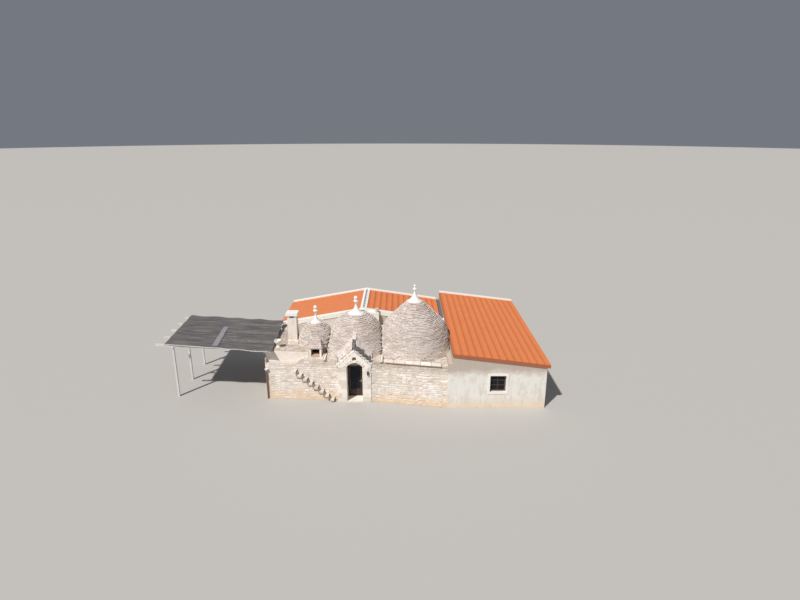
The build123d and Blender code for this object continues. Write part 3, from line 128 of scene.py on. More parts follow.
# The windows of the rear blocks: how deep their panes stand, the level of their sills, and their places
WINDOW_INSET, WINDOW_SILL = 0.15 + 0.026, 1.0
BACK_WINDOWS_X, SIDE_WINDOWS_Y, FRONT_WINDOW_X = (-2.6, 2.8), (0.0, 6.0), 8.1
SIDE_WALL_X = 10.8

# The portal: its arch, its gable, and the direction in which its roof climbs
ARCH_HALF, ARCH_RISE = 0.45, 0.26
ARCH_RADIUS = (ARCH_HALF**2 + ARCH_RISE**2) / (2 * ARCH_RISE)
ARCH_CENTRE = PORTAL_SPRING + ARCH_RISE - ARCH_RADIUS
PORTAL_CLIMB = (0.0, 1.0, 0.82)
PORTAL_RISE = 0.886
PORTAL_COVER = 0.10
RAKE_OVERHANG = 0.06
DOOR_HALF, LONG_JAMB, SHORT_JAMB = 0.453, 0.494, 0.31
NICHE_HALF, NICHE_TALL = 0.11, 0.22

# The flight of steps
STEP_COUNT = 8
FIRST_STEP_X, STEP_PITCH = -1.3, 0.307
FIRST_STEP_TOP, STEP_THICK, STEP_RISE = 0.2, 0.13, 0.244

# The shade cloth's corners in plan, and the level of the rafters' tops at their right end
CLOTH_CORNERS = np.array([(-10.95, -1.57), (-4.72, -1.90), (-5.08, 3.36), (-11.18, 3.60)])
RAFTER_END_X, RAFTER_LEVEL, RAFTER_CLIMB = -4.9, 2.89, 0.35
RAFTER_DEEP, RAFTER_THICK, RAFTER_BAYS = 0.12, 0.08, 4

# The stage: the floor's size and depth, the sun's direction and strength, the camera's place, pitch and lens
FLOOR_RADIUS, FLOOR_DEPTH = 400, 0.002
SUN_FROM, SUN_STRENGTH, SKY_STRENGTH = (-0.38, -0.50, 0.777), 3.55, 0.22
CAMERA_PLACE, CAMERA_PITCH, CAMERA_LENS = (2.6, -31.1, 15.5), 72.2, 24.98


# sizes and colours a user would change


def metres(name, description, default, low, high):
    """A property in metres with its name, description, default and range."""
    return FloatProperty(
        name=name, description=description, default=default, min=low, max=high, unit="LENGTH"
    )


def colour(name, description, default):
    """A colour property with its name, description and default."""
    return FloatVectorProperty(
        name=name, description=description, default=(*default, 1.0), size=4, min=0.0, max=1.0, subtype="COLOR"
    )


class TrulloStoneSizes(bpy.types.PropertyGroup):
    """Sizes of the stones"""

    cone_slab: metres("Cone slab", "Usual width of a cone slab", 0.33, 0.1, 0.8)
    wall_course: metres("Wall course", "Usual rise of a course in the walls", 0.15, 0.06, 0.5)
    wall_stone: metres("Wall stone", "Usual width of a wall stone", 0.27, 0.1, 0.9)
    paving_stone: metres("Paving stone", "Usual width of a roof slab", 0.36, 0.15, 1.0)
    seed: IntProperty(
        name="Seed", description="Number that all the stone layouts start from", default=7, min=0
    )


class TrulloRoofSizes(bpy.types.PropertyGroup):
    """Sizes of the tiles and the shade cloth"""

    tile_width: metres("Tile width", "Width of a tile that shows", 0.24, 0.1, 0.6)
    cloth_sag: metres("Cloth sag", "Sag of the cloth between two rafters", 0.032, 0.0, 0.2)


class TrulloColours(bpy.types.PropertyGroup):
    """Colours of the finishes"""

    cone: colour("Cone stone", "Clean limestone of the cones", (0.785, 0.72, 0.695))
    wall: colour("Wall stone", "Limewashed stone of the walls", (0.96, 0.91, 0.87))
    dressed: colour("Dressed stone", "Cut stone of the portal and steps", (0.97, 0.92, 0.87))
    plaster: colour("Plaster", "White plaster of caps and copings", (0.88, 0.86, 0.82))
    earth: colour("Earth stain", "Splashed earth at the foot of the walls", (0.80, 0.58, 0.37))
    lichen: colour("Lichen", "Grey growth on old stone", (0.27, 0.25, 0.23))
    tile: colour("Roof tile", "Fired clay of the tiles", (0.72, 0.235, 0.095))
    cloth: colour("Shade cloth", "Dark net of the pergola", (0.036, 0.031, 0.031))
    timber: colour("White timber", "Painted wood of the pergola", (0.82, 0.81, 0.78))
    door: colour("Door timber", "Dark wood of the door", (0.032, 0.018, 0.012))


# meshes from whole arrays


def make_piece(name, points, faces, finish, smooth=False, tint=None, uv=None):
    """One finished piece of the house: its points, its faces as arrays of corner numbers, and, where they are
    given, a tone and a place on the map for each point."""
    groups = [np.asarray(f, dtype=np.int32) for f in faces if len(f)]
    corners = np.concatenate([g.ravel() for g in groups])
    sizes = np.concatenate([np.full(len(g), g.shape[1], dtype=np.int32) for g in groups])
    mesh = bpy.data.meshes.new(name)
    mesh.vertices.add(len(points))
    mesh.vertices.foreach_set("co", np.ascontiguousarray(points, dtype=np.float32).ravel())
    mesh.loops.add(len(corners))
    mesh.loops.foreach_set("vertex_index", corners)
    mesh.polygons.add(len(sizes))
    mesh.polygons.foreach_set("loop_start", np.concatenate([[0], np.cumsum(sizes)[:-1]]).astype(np.int32))
    mesh.update(calc_edges=True)
    mesh.validate()
    mesh.polygons.foreach_set("use_smooth", np.full(len(mesh.polygons), smooth))
    if tint is not None:
        tone = mesh.attributes.new("tone", "FLOAT", "POINT")
        tone.data.foreach_set("value", np.asarray(tint, dtype=np.float32))
    if uv is not None:
        layer = mesh.uv_layers.new(name="UVMap")
        layer.data.foreach_set("uv", np.asarray(uv, dtype=np.float32)[corners].ravel())
    mesh.materials.append(finish_for(finish))
    piece = bpy.data.objects.new(name, mesh)
    bpy.context.scene.collection.objects.link(piece)
    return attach(piece, "house")


def make_blocks(name, laid, finish):
    """One finished piece of what was laid: points, quads and, where they are given, tones."""
    points, quads, *tones = laid
    return make_piece(name, points, [quads], finish, tint=tones[0] if tones else None)


def thicken(piece, thickness, offset=-1.0):
    """Gives a sheet its thickness, inwards or, with no offset, to both sides."""
    modifier = piece.modifiers.new("Thickness", "SOLIDIFY")
    modifier.thickness = thickness
    modifier.offset = offset


def at(x, y, z):
    """Points from their coordinates, each an array or a number."""
    return np.stack(np.broadcast_arrays(x, y, z), axis=-1).astype(float)


def unit(vectors):
    """Vectors divided by their lengths."""
    return vectors / np.linalg.norm(vectors, axis=-1, keepdims=True)


def within(place, x=(-math.inf, math.inf), y=(-math.inf, math.inf), z=(-math.inf, math.inf)):
    """True for places between the limits that are given."""
    low, high = np.array([x, y, z]).T
    return ((place > low) & (place < high)).all(axis=1)


def grid_quads(columns, rows, first=0, flip=False):
    """Quads of a grid of columns by rows of points, numbered row by row."""
    corner = (np.arange(rows - 1)[:, None] * columns + np.arange(columns - 1)[None, :]).ravel() + first
    quads = np.stack([corner, corner + 1, corner + columns + 1, corner + columns], axis=1)
    return quads[:, ::-1] if flip else quads


def ring_quads(rings, turns):
    """Quads between closed rings of points, numbered ring by ring."""
    here = (np.arange(rings - 1)[:, None] * turns + np.arange(turns)).ravel()
    beside = (np.arange(rings - 1)[:, None] * turns + (np.arange(turns) + 1) % turns).ravel()
    return np.stack([here, beside, beside + turns, here + turns], axis=1)


def grid_rim(columns, rows):
    """Numbers of a grid's outer points, once round, in the turning sense of its quads."""
    along, up = np.arange(columns - 1), np.arange(rows - 1)
    right, left = up * columns + columns - 1, (rows - 1 - up) * columns
    return np.concatenate([along, right, rows * columns - 1 - along, left])


def repeated(quads, count, size):
    """The quads of one block repeated for as many blocks of so many points."""
    return (quads[None] + (np.arange(count) * size)[:, None, None]).reshape(-1, 4)


def block_pattern(columns, rows):
    """Pattern of one block: a front grid, a chamfer ring, a back grid, and the quads that close them."""
    u, v = np.meshgrid(np.linspace(-0.5, 0.5, columns), np.linspace(-0.5, 0.5, rows))
    flat = np.stack([u.ravel(), v.ravel()], axis=1)
    rim = grid_rim(columns, rows)
    count, turn = len(flat), len(rim)
    ring = count + np.arange(turn)
    back = count + turn
    after = np.roll(np.arange(turn), -1)
    chamfer = np.stack([rim, ring, ring[after], rim[after]], axis=1)
    sides = np.stack([ring, back + rim, back + rim[after], ring[after]], axis=1)
    front, behind = grid_quads(columns, rows), grid_quads(columns, rows, back, flip=True)
    layer = np.repeat([0, 1, 2], [count, turn, count])
    return np.concatenate([flat, flat[rim], flat]), layer, np.concatenate([front, chamfer, sides, behind])


def lay_blocks(
    place, across, upward, width, height, proud, depth, rng,
    chamfer=0.01, rough=0.06, bulge=0.3, grid=(3, 3), taper=(0.9, 0.9),
):
    """Blocks on a surface, as points, quads and a tone for each block. A point is place + across u (w - 2c) +
    upward v (h - 2c) + outward (proud + bulge), with c the chamfer on the front grid and none on the ring.
    Outward is across x upward, the back grid lies at minus the depth, tapered, and each point before it is
    shifted by a random share of the smaller side. No point goes below the ground."""
    places, layer, quads = block_pattern(*grid)
    count, size = len(place), len(layer)
    width, height, proud, depth = (
        np.broadcast_to(value, count).astype(float)[:, None] for value in (width, height, proud, depth)
    )
    across, upward = (unit(np.broadcast_to(value, (count, 3)).astype(float)) for value in (across, upward))
    outward = unit(np.cross(across, upward))
    front, back = layer == 0, layer == 2
    small = np.minimum(width, height)
    cut = np.minimum(chamfer, 0.3 * small)
    u = places[:, 0] * (width - 2 * cut * front) * np.where(back, taper[0], 1.0)
    v = places[:, 1] * (height - 2 * cut * front) * np.where(back, taper[1], 1.0)
    crown = (1 - (2 * places[:, 0]) ** 2) * (1 - (2 * places[:, 1]) ** 2)
    out = np.where(front, proud + bulge * cut * crown, np.where(back, -depth, proud - cut))
    shift = rng.uniform(-1, 1, (3, count, size)) * rough * small * ~back
    u, v, out = u + shift[0], v + shift[1], out + 0.5 * shift[2] * front
    points = place[:, None, :] + u[..., None] * across[:, None, :]
    points = points + v[..., None] * upward[:, None, :] + out[..., None] * outward[:, None, :]
    points[..., 2] = np.maximum(points[..., 2], 0.0)
    return points.reshape(-1, 3), repeated(quads, count, size), np.repeat(rng.uniform(0, 1, count), size)


def upright_plate(left, right, foot, head, front, depth, columns=24, rows=6):
    """Closed upright plate: front points (x, front, foot(x) + t (head(x) - foot(x))), and the same behind."""
    x, share = np.meshgrid(np.linspace(left, right, columns), np.linspace(0, 1, rows))
    z = foot(x) + share * np.maximum(head(x) - foot(x), 0.001)
    face = at(x, front, z).reshape(-1, 3)
    rim = grid_rim(columns, rows)
    count, after = len(face), np.roll(rim, -1)
    sides = np.stack([rim, rim + count, after + count, after], axis=1)
    front, behind = grid_quads(columns, rows), grid_quads(columns, rows, count, flip=True)
    points = np.concatenate([face, face + np.array([0.0, depth, 0.0])])
    return points, np.concatenate([front, sides, behind])


def join_blocks(parts):
    """Several sets of points, quads and, where they are given, tones as one set."""
    points, quads, *tones = zip(*parts)
    starts = np.cumsum([0] + [len(p) for p in points[:-1]])
    moved = np.concatenate([q + start for q, start in zip(quads, starts)])
    return (np.concatenate(points), moved, *(np.concatenate(t) for t in tones))


def split_run(start, end, usual, rng, spread=0.45):
    """Random pieces that fill a run: their middles and lengths."""
    count = max(1, int(round((end - start) / usual)))
    lengths = rng.uniform(1 - spread, 1 + spread, count)
    lengths *= (end - start) / lengths.sum()
    edges = start + np.concatenate([[0], np.cumsum(lengths)])
    return (edges[:-1] + edges[1:]) / 2, lengths


def coursed(left, right, foot, head, rise, usual, rng, wave=0.0, loose=0.0):
    """Coursed stones on a rectangle: arrays of middle across, middle up, width and height. Some are two thin
    stones. The courses rise and dip by wave times two slow waves, less towards the foot and head, and stones
    are up to loose lower than their course."""
    rows = []
    for middle, height in zip(*split_run(foot, head, rise, rng, 0.3)):
        along, width = split_run(left, right, usual * rng.uniform(0.75, 1.3), rng, 0.55)
        thin = rng.uniform(0, 1, len(along)) < 0.16
        whole = np.stack(np.broadcast_arrays(along, middle, width, height), axis=1)
        lower, upper = whole[thin].copy(), whole[thin].copy()
        lower[:, 1] -= height / 4
        upper[:, 1] += height / 4
        lower[:, 3] = upper[:, 3] = height / 2
        rows += [whole[~thin], lower, upper]
    along, up, width, height = np.concatenate(rows).T
    phase = rng.uniform(0, FULL_PHASE, 2)
    share = np.clip((up - foot) / (head - foot), 0, 1)
    waves = np.sin(1.9 * along + phase[0]) + 0.6 * np.sin(4.7 * along + phase[1])
    up = up + wave * np.sin(math.pi * share) * waves
    lost = loose * rng.uniform(0, 1, len(up)) * height
    return along, up + lost * rng.uniform(-0.5, 0.5, len(up)), width, height - lost


def turned(profile, x, y, turns, wobble, seed):
    """Surface of revolution: (x + r sin a, y - r cos a, z) for each profile point (r, z) and angle a, with r
    made uneven by wobble times three slow waves. Profile ends on the axis are closed by fans."""
    rng = np.random.default_rng(seed)
    radius, level = np.asarray(profile, dtype=float).T
    body = radius > 1e-6
    angle = np.linspace(0, 2 * math.pi, turns, endpoint=False)
    phase = rng.uniform(0, FULL_PHASE, 3)
    waves = [np.sin(k * angle + p + 5 * level[body][:, None]) / k for k, p in zip((2, 3, 5), phase)]
    r = radius[body][:, None] * (1 + wobble * sum(waves))
    points = at(x + r * np.sin(angle), y - r * np.cos(angle), level[body][:, None]).reshape(-1, 3)
    rings, around = body.sum(), np.arange(turns)
    faces = [ring_quads(rings, turns)]
    after, top = (around + 1) % turns, (rings - 1) * turns
    for end, second, third in ((0, after, around), (-1, top + around, top + after)):
        if not body[end]:
            points = np.concatenate([points, [[x, y, level[end]]]])
            faces.append(np.stack(np.broadcast_arrays(len(points) - 1, second, third), axis=1))
    return points, faces


def arc_through(first, middle, last, count=24):
    """Points on the circle through three points, at even angles from the first by the middle to the last."""
    a, b, c = (np.array(p, dtype=float) for p in (first, middle, last))
    system = 2 * np.array([b - a, c - a])
    centre = np.linalg.solve(system, [b @ b - a @ a, c @ c - a @ a])
    angles = [math.atan2(*(p - centre)[::-1]) for p in (a, b, c)]
    turn = (angles[2] - angles[0]) % (2 * math.pi)
    if (angles[1] - angles[0]) % (2 * math.pi) > turn:
        turn -= 2 * math.pi
    steps = angles[0] + turn * np.linspace(0, 1, count)
    return centre + np.linalg.norm(a - centre) * np.stack([np.cos(steps), np.sin(steps)], axis=1)


# the three cones


def cone_outline(*lines):
    """Outline of a cone as even steps of rise, slightly smoothed, with the radius at each."""
    path = np.concatenate(lines)
    rise = np.linspace(path[0, 1], path[-1, 1], 240)
    radius = np.interp(rise, path[:, 1], path[:, 0])
    reach = 9
    foot, head = 2 * radius[0] - radius[reach:0:-1], 2 * radius[-1] - radius[-2 : -reach - 2 : -1]
    width = 2 * reach + 1
    return rise, np.convolve(np.concatenate([foot, radius, head]), np.ones(width) / width, mode="valid")


CONES = {
    "middle": {
        "x": 0.0,
        "y": 0.1,
        "outline": cone_outline([(2.0, 0), (1.4, 1.37)], arc_through((1.4, 1.37), (1.0, 1.83), (0.48, 2.13))),
    },
    "right": {
        "x": 3.47,
        "y": 0.05,
        "outline": cone_outline(
            [(2.35, 0), (2.17, 0.3)],
            arc_through((2.17, 0.3), (2.0, 0.96), (1.65, 1.7)),
            [(1.65, 1.7), (0.42, 2.89)],
        ),
    },
    "left": {
        "x": -2.42,
        "y": 0.1,
        "outline": cone_outline([(1.1, 0), (1.1, 0.3)], arc_through((1.1, 0.3), (0.87, 1.05), (0.3, 1.57))),
    },
}


def cone_radius(cone, rise):
    """Radius of a cone's outside at a rise above the wall top, and none above its cap."""
    return np.interp(rise, *cone["outline"], right=0.0)


def inside_cone(points, cone, margin):
    """True for points that lie deeper inside a cone than the margin."""
    away = np.hypot(points[:, 0] - cone["x"], points[:, 1] - cone["y"])
    return away < cone_radius(cone, points[:, 2] - WALL_TOP) - margin


def free_of_neighbours(name, place):
    """True for slabs of a cone that stand clear of the lean-to, other cones, the dormer and the chimney."""
    free = place[:, 0] < ANNEX_LEFT - 0.02
    for other in CONES:
        if other != name:
            free &= ~inside_cone(place, CONES[other], -0.055)
    if name == "left":
        low, high = CHIMNEY
        free &= ~within(place, DORMER_SPAN, (-math.inf, DORMER_BACK), (-math.inf, DORMER_TOP))
        free &= ~within(place, (-math.inf, high.x + 0.02), (low.y - 0.02, high.y + 0.02))
    return free


def cone_slabs(name, sizes):
    """Courses of slabs round a cone: a slab's front stands upright a little outside the outline's radius at
    the foot of its course, so that its top forms a step, and the slabs rise and dip by two slow waves."""
    cone = CONES[name]
    rng = np.random.default_rng(sizes.seed + 10 * sorted(CONES).index(name))
    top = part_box(f"{name}_cone")[1].z - WALL_TOP
    rise = top / CONE_COURSES[name]
    phase = rng.uniform(0, FULL_PHASE, 2)
    parts = []
    for course in range(CONE_COURSES[name]):
        out = float(cone_radius(cone, (course + 0.2) * rise))
        step = out - float(cone_radius(cone, min((course + 1.2) * rise, top)))
        usual = sizes.cone_slab * rng.uniform(0.75, 1.25)
        share = 2 * math.pi * usual / max(2 * math.pi * out, 8 * usual)
        angle, turn = split_run(0, 2 * math.pi, share, rng, 0.5)
        angle = angle + rng.uniform(0, FULL_PHASE)
        slow = np.sin(5 * angle + 0.4 * course + phase[0])
        quick = np.sin(11 * angle - 0.7 * course + phase[1])
        foot = 0.15 + (0.11 * slow + 0.07 * quick) + rng.normal(0, 0.035, len(angle))
        height = rng.uniform(0.80, 0.93, len(angle))
        push = np.clip(rng.normal(0.010, 0.006, len(angle)), 0.0, 0.026)
        across = unit(at(np.cos(angle), np.sin(angle), rng.normal(0.0, 0.02, len(angle))))
        radial = unit(at(np.sin(angle), -np.cos(angle), rng.normal(-0.05, 0.03, len(angle))))
        upward = unit(np.cross(radial, across))
        level = WALL_TOP + (course + foot + height / 2) * rise
        place = at(cone["x"] + out * np.sin(angle), cone["y"] - out * np.cos(angle), level)
        free = free_of_neighbours(name, place)
        if free.any():
            own = (v[free] for v in (place, across, upward, turn * out * 0.98, height * rise, push))
            taper = (0.9 - 0.5 * step / out, 0.98)
            parts.append(lay_blocks(*own, step + 0.05, rng, rough=0.07, grid=(4, 3), taper=taper))
    return join_blocks(parts)


def valley_line(first, second, side, count=40):
    """Curve where two cones cross, on the side of one sign: at each level the crossing of two circles whose
    centres lie on one line along X."""
    apart = second["x"] - first["x"]
    rise = np.linspace(0.0, 2.0, 4 * count)
    near, far = cone_radius(first, rise), cone_radius(second, rise)
    along = (apart**2 + near**2 - far**2) / (2 * apart)
    deep = near**2 - along**2
    use = (deep > 0.0025) & (near > 0) & (far > 0)
    line = at(first["x"] + along[use], first["y"] + side * np.sqrt(deep[use]), WALL_TOP + rise[use])
    return line[np.linspace(0, len(line) - 1, count).astype(int)]


def seam(line, half, phase):
    """A six-sided bar along a curve, made thicker and thinner by slow waves, with closed ends. The dark bars
    that paint shadow lines are made of it.
    """
    turns = np.linspace(0, 2 * math.pi, 6, endpoint=False)
    step = np.arange(len(line))
    size = half * (1 + 0.25 * np.sin(0.9 * step + phase) + 0.15 * np.sin(2.3 * step + 2 * phase))
    along = unit(np.gradient(line, axis=0))
    side = unit(np.cross(along, np.array([1.0, 0.01, 0.0])))
    other = np.cross(along, side)
    ring = np.cos(turns)[None, :, None] * side[:, None, :] + np.sin(turns)[None, :, None] * other[:, None, :]
    points = (line[:, None, :] + size[:, None, None] * ring).reshape(-1, 3)
    first, last = np.array([[5, 4, 3, 2], [5, 2, 1, 0]]), np.array([[0, 1, 2, 5], [2, 3, 4, 5]])
    return points, np.concatenate([ring_quads(len(line), 6), first, last + 6 * (len(line) - 1)])


# walls and flat roofs


def front_line(x):
    """Foot of the front wall: two straight runs that meet beside the portal."""
    share = (x - PORTAL_HALF) / (HOUSE_RIGHT - PORTAL_HALF)
    left = FRONT_LEFT_Y + FRONT_SLOPE * (x - HOUSE_LEFT)
    return np.where(x <= PORTAL_HALF, left, FRONT_KINK_Y + share * (FRONT_RIGHT_Y - FRONT_KINK_Y))


def wall_face_y(x, z):
    """Face of the front wall; to the right of the portal it swings in from the portal's own face."""
    face = front_line(x) + WALL_LEAN * z
    share = np.clip((x - PORTAL_HALF) / PORTAL_SWING, 0, 1)
    return np.where(x > PORTAL_HALF, (1 - share) * (PORTAL_FRONT - 0.03) + share * face, face)


def wall_blocks(left, right, foot, head, rng, sizes, proud, rough):
    """Stones on the front wall's leaning face, each turned to the face's line where it lies."""
    usual = sizes.wall_course, sizes.wall_stone
    wave = 0.035 if head - foot > 1 else 0.0
    x, z, width, height = coursed(left, right, foot, head, *usual, rng, wave, 0.25)
    turn = (wall_face_y(x + width / 3, z) - wall_face_y(x - width / 3, z)) / (2 * width / 3)
    return lay_blocks(
        at(x, wall_face_y(x, z), z), at(1.0, turn, 0.0), (0.0, WALL_LEAN, 1.0), width * 0.97, height * 0.955,
        rng.uniform(*proud, len(x)), 0.05, rng, 0.020, rough, 0.4,
    )


def corner_blocks(rng):
    """Long and short blocks in turn up the left corner, let into both faces."""
    foot = np.arange(0.0, 2.2, CORNER_RISE)
    long_turn = np.arange(len(foot)) % 2 == 0
    width = np.where(long_turn, CORNER_LONG, CORNER_SHORT)
    depth = np.where(long_turn, CORNER_SHORT, CORNER_LONG)
    y = FRONT_LEFT_Y + WALL_LEAN * (foot + 0.138)
    place = at(HOUSE_LEFT - 0.010 + width / 2, y, foot + CORNER_RISE / 2)
    upward = (0.0, WALL_LEAN, 1.0)
    return lay_blocks(place, ALONG_FRONT, upward, width, 0.262, 0.008, depth, rng, rough=0.012)


def paving(left, right, head, surface, keep_out, rng, sizes):
    """Irregular slabs on a flat or gently sloping roof. surface gives place and upward for each (x, run)."""
    x, run, width, depth = coursed(left, right, 0.0, head, sizes.paving_stone * 0.8, sizes.paving_stone, rng)
    place, upward = surface(x, run)
    keep = ~keep_out(place)
    proud = rng.uniform(0.008, 0.028, keep.sum())
    width, depth = width[keep] * 0.95, depth[keep] * 0.94
    return lay_blocks(place[keep], RIGHT, upward, width, depth, proud, 0.03, rng, 0.014, 0.11)


def deck(x, run):
    """Places of slabs on the level roof behind the front wall."""
    return at(x, front_line(x) + DECK_SETBACK + run, WALL_TOP), BACKWARD


def off_deck(place):
    """True for places on the level roof that the rear block, portal, coping, dormer or a cone covers."""
    behind_front = place[:, 1] < front_line(place[:, 0]) + 0.34
    taken = place[:, 1] > REAR_FACE - 0.06
    taken |= within(place, (0.2 - PORTAL_HALF, PORTAL_HALF - 0.2), (-math.inf, -1.3))
    taken |= within(place, COPING_SPAN) & behind_front
    taken |= within(place, DORMER_SPAN, (-1.60, DORMER_BACK))
    for cone in CONES.values():
        taken |= inside_cone(place, cone, 0.08)
    return taken


def left_slope(x, run):
    """Places of slabs on the left roof, which falls towards the back."""
    fall = -LEFT_ROOF_FALL / (REAR_FACE + 1.4)
    y = front_line(x) + LEFT_ROOF_SETBACK + run
    level = WALL_TOP + LEDGE_DROP + fall * (y - (FRONT_LEFT_Y + 0.30))
    return at(x, y, level), (0, 1.0, fall)


def off_left_slope(place):
    """True for places on the left roof that the rear block, chimney, vase or left cone covers."""
    taken = place[:, 1] > REAR_FACE - 0.06
    for low, high in (CHIMNEY, VASE):
        taken |= within(place, (low.x - 0.04, high.x + 0.04), (low.y - 0.04, high.y + 0.04))
    return taken | inside_cone(place, CONES["left"], 0.12)


# tiles


def tile_blocks(low, high, along, rows, columns, width, rng):
    """Interlocking tiles between a slope's low and high line, with their places on the map. A tile's face is
    a grid across its width with height 0.5 (1 - cos) over two shallow channels, and it falls from the step at
    its lower end to the slope at its upper end."""
    places, layer, quads = block_pattern(9, 3)
    row, column = (a.ravel() for a in np.meshgrid(np.arange(rows), np.arange(columns), indexing="ij"))
    count, size = len(row), len(layer)
    slope = high - low
    exposure = np.linalg.norm(slope) / rows
    upward = unit(slope)
    outward = unit(np.cross(along, upward))
    middle = low + np.outer((row + 0.5) / rows, slope) + np.outer((column + 0.5) * width, along)
    u, v = places.T
    ribs = 0.5 - 0.5 * np.cos(2 * math.pi * 2 * (u + 0.5))
    lift = TILE_BASE + TILE_STEP * (0.5 - v) + TILE_CHANNEL * (1 - ribs)
    lift = np.select([layer == 0, layer == 1], [lift, lift - 0.007], -0.004)
    edge = np.where(layer == 0, 0.004, 0.0)
    tilt = rng.normal(0, 0.0020, (2, count, 1))
    across = u * (width - TILE_GAP - 2 * edge)
    upslope = v * (exposure + TILE_LAP - 2 * edge) - 0.006 + rng.normal(0, 0.003, (count, 1))
    out = lift + tilt[0] + tilt[1] * 3 * u
    points = middle[:, None, :] + across[:, None] * along
    points = points + upslope[..., None] * upward + out[..., None] * outward
    tones = np.repeat(rng.uniform(0, 1, count), size)
    return points.reshape(-1, 3), repeated(quads, count, size), tones, np.tile(places + 0.5, (count, 1))


# shader effects, each a node group built once


def give(tree, socket, value):
    """A value on a socket: another socket's, a number, or a colour of three or four numbers."""
    if isinstance(value, bpy.types.NodeSocket):
        tree.links.new(value, socket)
    elif isinstance(value, tuple) and socket.type == "RGBA":
        socket.default_value = (*value[:3], 1.0)
    else:
        socket.default_value = value


def noise(tree, vector, scale, detail=4.0, roughness=0.55):
    """A noise node on a vector."""
    node = tree.nodes.new("ShaderNodeTexNoise")
    for label, value in (("Vector", vector), ("Scale", scale), ("Detail", detail), ("Roughness", roughness)):
        give(tree, node.inputs[label], value)
    return node.outputs["Fac"]


def spread(tree, value, low, high, to_low=0.0, to_high=1.0):
    """A value mapped from one range to another, with its ends held."""
    node = tree.nodes.new("ShaderNodeMapRange")
    labels = ("Value", "From Min", "From Max", "To Min", "To Max")
    for label, number in zip(labels, (value, low, high, to_low, to_high)):
        give(tree, node.inputs[label], number)
    return node.outputs["Result"]


def mix(tree, factor, first, second, blend="MIX"):
    """Two colours mixed by a factor."""
    node = tree.nodes.new("ShaderNodeMix")
    node.data_type = "RGBA"
    node.blend_type = blend
    for number, value in ((0, factor), (6, first), (7, second)):
        give(tree, node.inputs[number], value)
    return node.outputs[2]


def tinted(tree, factor, first, second):
    """A colour multiplied by another, by a factor."""
    return mix(tree, factor, first, second, "MULTIPLY")


def combine(tree, operation, first, second):
    """Two values joined by one operation of arithmetic."""
    node = tree.nodes.new("ShaderNodeMath")
    node.operation = operation
    for socket, value in zip(node.inputs, (first, second)):
        give(tree, socket, value)
    return node.outputs[0]


def plus(tree, first, second):
    """The sum of two values."""
    return combine(tree, "ADD", first, second)


def times(tree, first, second):
    """The product of two values."""
    return combine(tree, "MULTIPLY", first, second)


def squeeze(tree, vector, factors):
    """A vector with each part multiplied by a factor, so that a pattern is drawn out along an axis."""
    node = tree.nodes.new("ShaderNodeVectorMath")
    node.operation = "MULTIPLY"
    give(tree, node.inputs[0], vector)
    give(tree, node.inputs[1], factors)
    return node.outputs[0]


def separate(tree, vector):
    """The three parts of a vector."""
    node = tree.nodes.new("ShaderNodeSeparateXYZ")
    tree.links.new(vector, node.inputs[0])
    return node.outputs


def stone(tree, given):
    """Quarried limestone: cloudy tone, a tone for each stone, pits, and grey growth in patches."""
    vector, tone = given["Vector"], given["Tone"]
    cloud = noise(tree, vector, 1.6, 5.0)
    grain = noise(tree, vector, 26.0, 6.0, 0.65)
    pits = noise(tree, vector, 85.0, 3.0, 0.7)
    toned = tinted(tree, spread(tree, tone, 0, 1, 0.0, 0.95), given["Color"], (0.77, 0.745, 0.72))
    warm = tinted(tree, spread(tree, cloud, 0.42, 0.66, 0.0, 0.4), toned, (0.92, 0.82, 0.70))
    speckled = tinted(tree, spread(tree, grain, 0.38, 0.62, 0.0, 0.4), warm, (1.25, 1.23, 1.20))
    pitted = tinted(tree, spread(tree, pits, 0.60, 0.74, 0.0, 0.55), speckled, (0.45, 0.40, 0.35))
    patches = plus(tree, noise(tree, vector, 3.1, 6.0, 0.7), spread(tree, tone, 0, 1, -0.07, 0.07))
    grown = times(tree, spread(tree, patches, 0.50, 0.70), given["Growth"])
    return {
        "Color": mix(tree, grown, pitted, given["Growth color"]),
        "Height": plus(tree, times(tree, grain, 0.7), times(tree, pits, 0.3)),
        "Roughness": spread(tree, grain, 0.3, 0.7, 0.78, 0.95),
    }


def foot_stain(tree, given):
    """Earth splashed up the foot of a wall, strongest at the ground with an uneven upper edge, and a darker
    band under the top, stronger right of the portal: partly rain stain, partly painted shadow under the coping."""
    place = separate(tree, given["Vector"])
    uneven = times(tree, noise(tree, given["Vector"], 1.3, 6.0, 0.65), 1.5)
    splashed = spread(tree, combine(tree, "SUBTRACT", place["Z"], uneven), -0.80, 0.05, 1.0, 0.0)
    drift = spread(tree, noise(tree, given["Vector"], 0.8, 5.0, 0.6), 0.5, 0.75, 0.0, 0.14)
    stained = times(tree, combine(tree, "MAXIMUM", splashed, drift), given["Strength"])
    # Darker band under the top: partly rain stain, partly painted shadow under the coping.
    top_band_level = plus(tree, place["Z"], times(tree, uneven, 0.6))
    side = spread(tree, place["X"], 0.0, 1.2, 0.34, 0.85)
    marks = times(tree, spread(tree, top_band_level, 2.38, 2.85), side)
    aged = mix(tree, marks, given["Color"], (0.50, 0.42, 0.35))
    return {"Color": mix(tree, stained, aged, given["Stain"])}


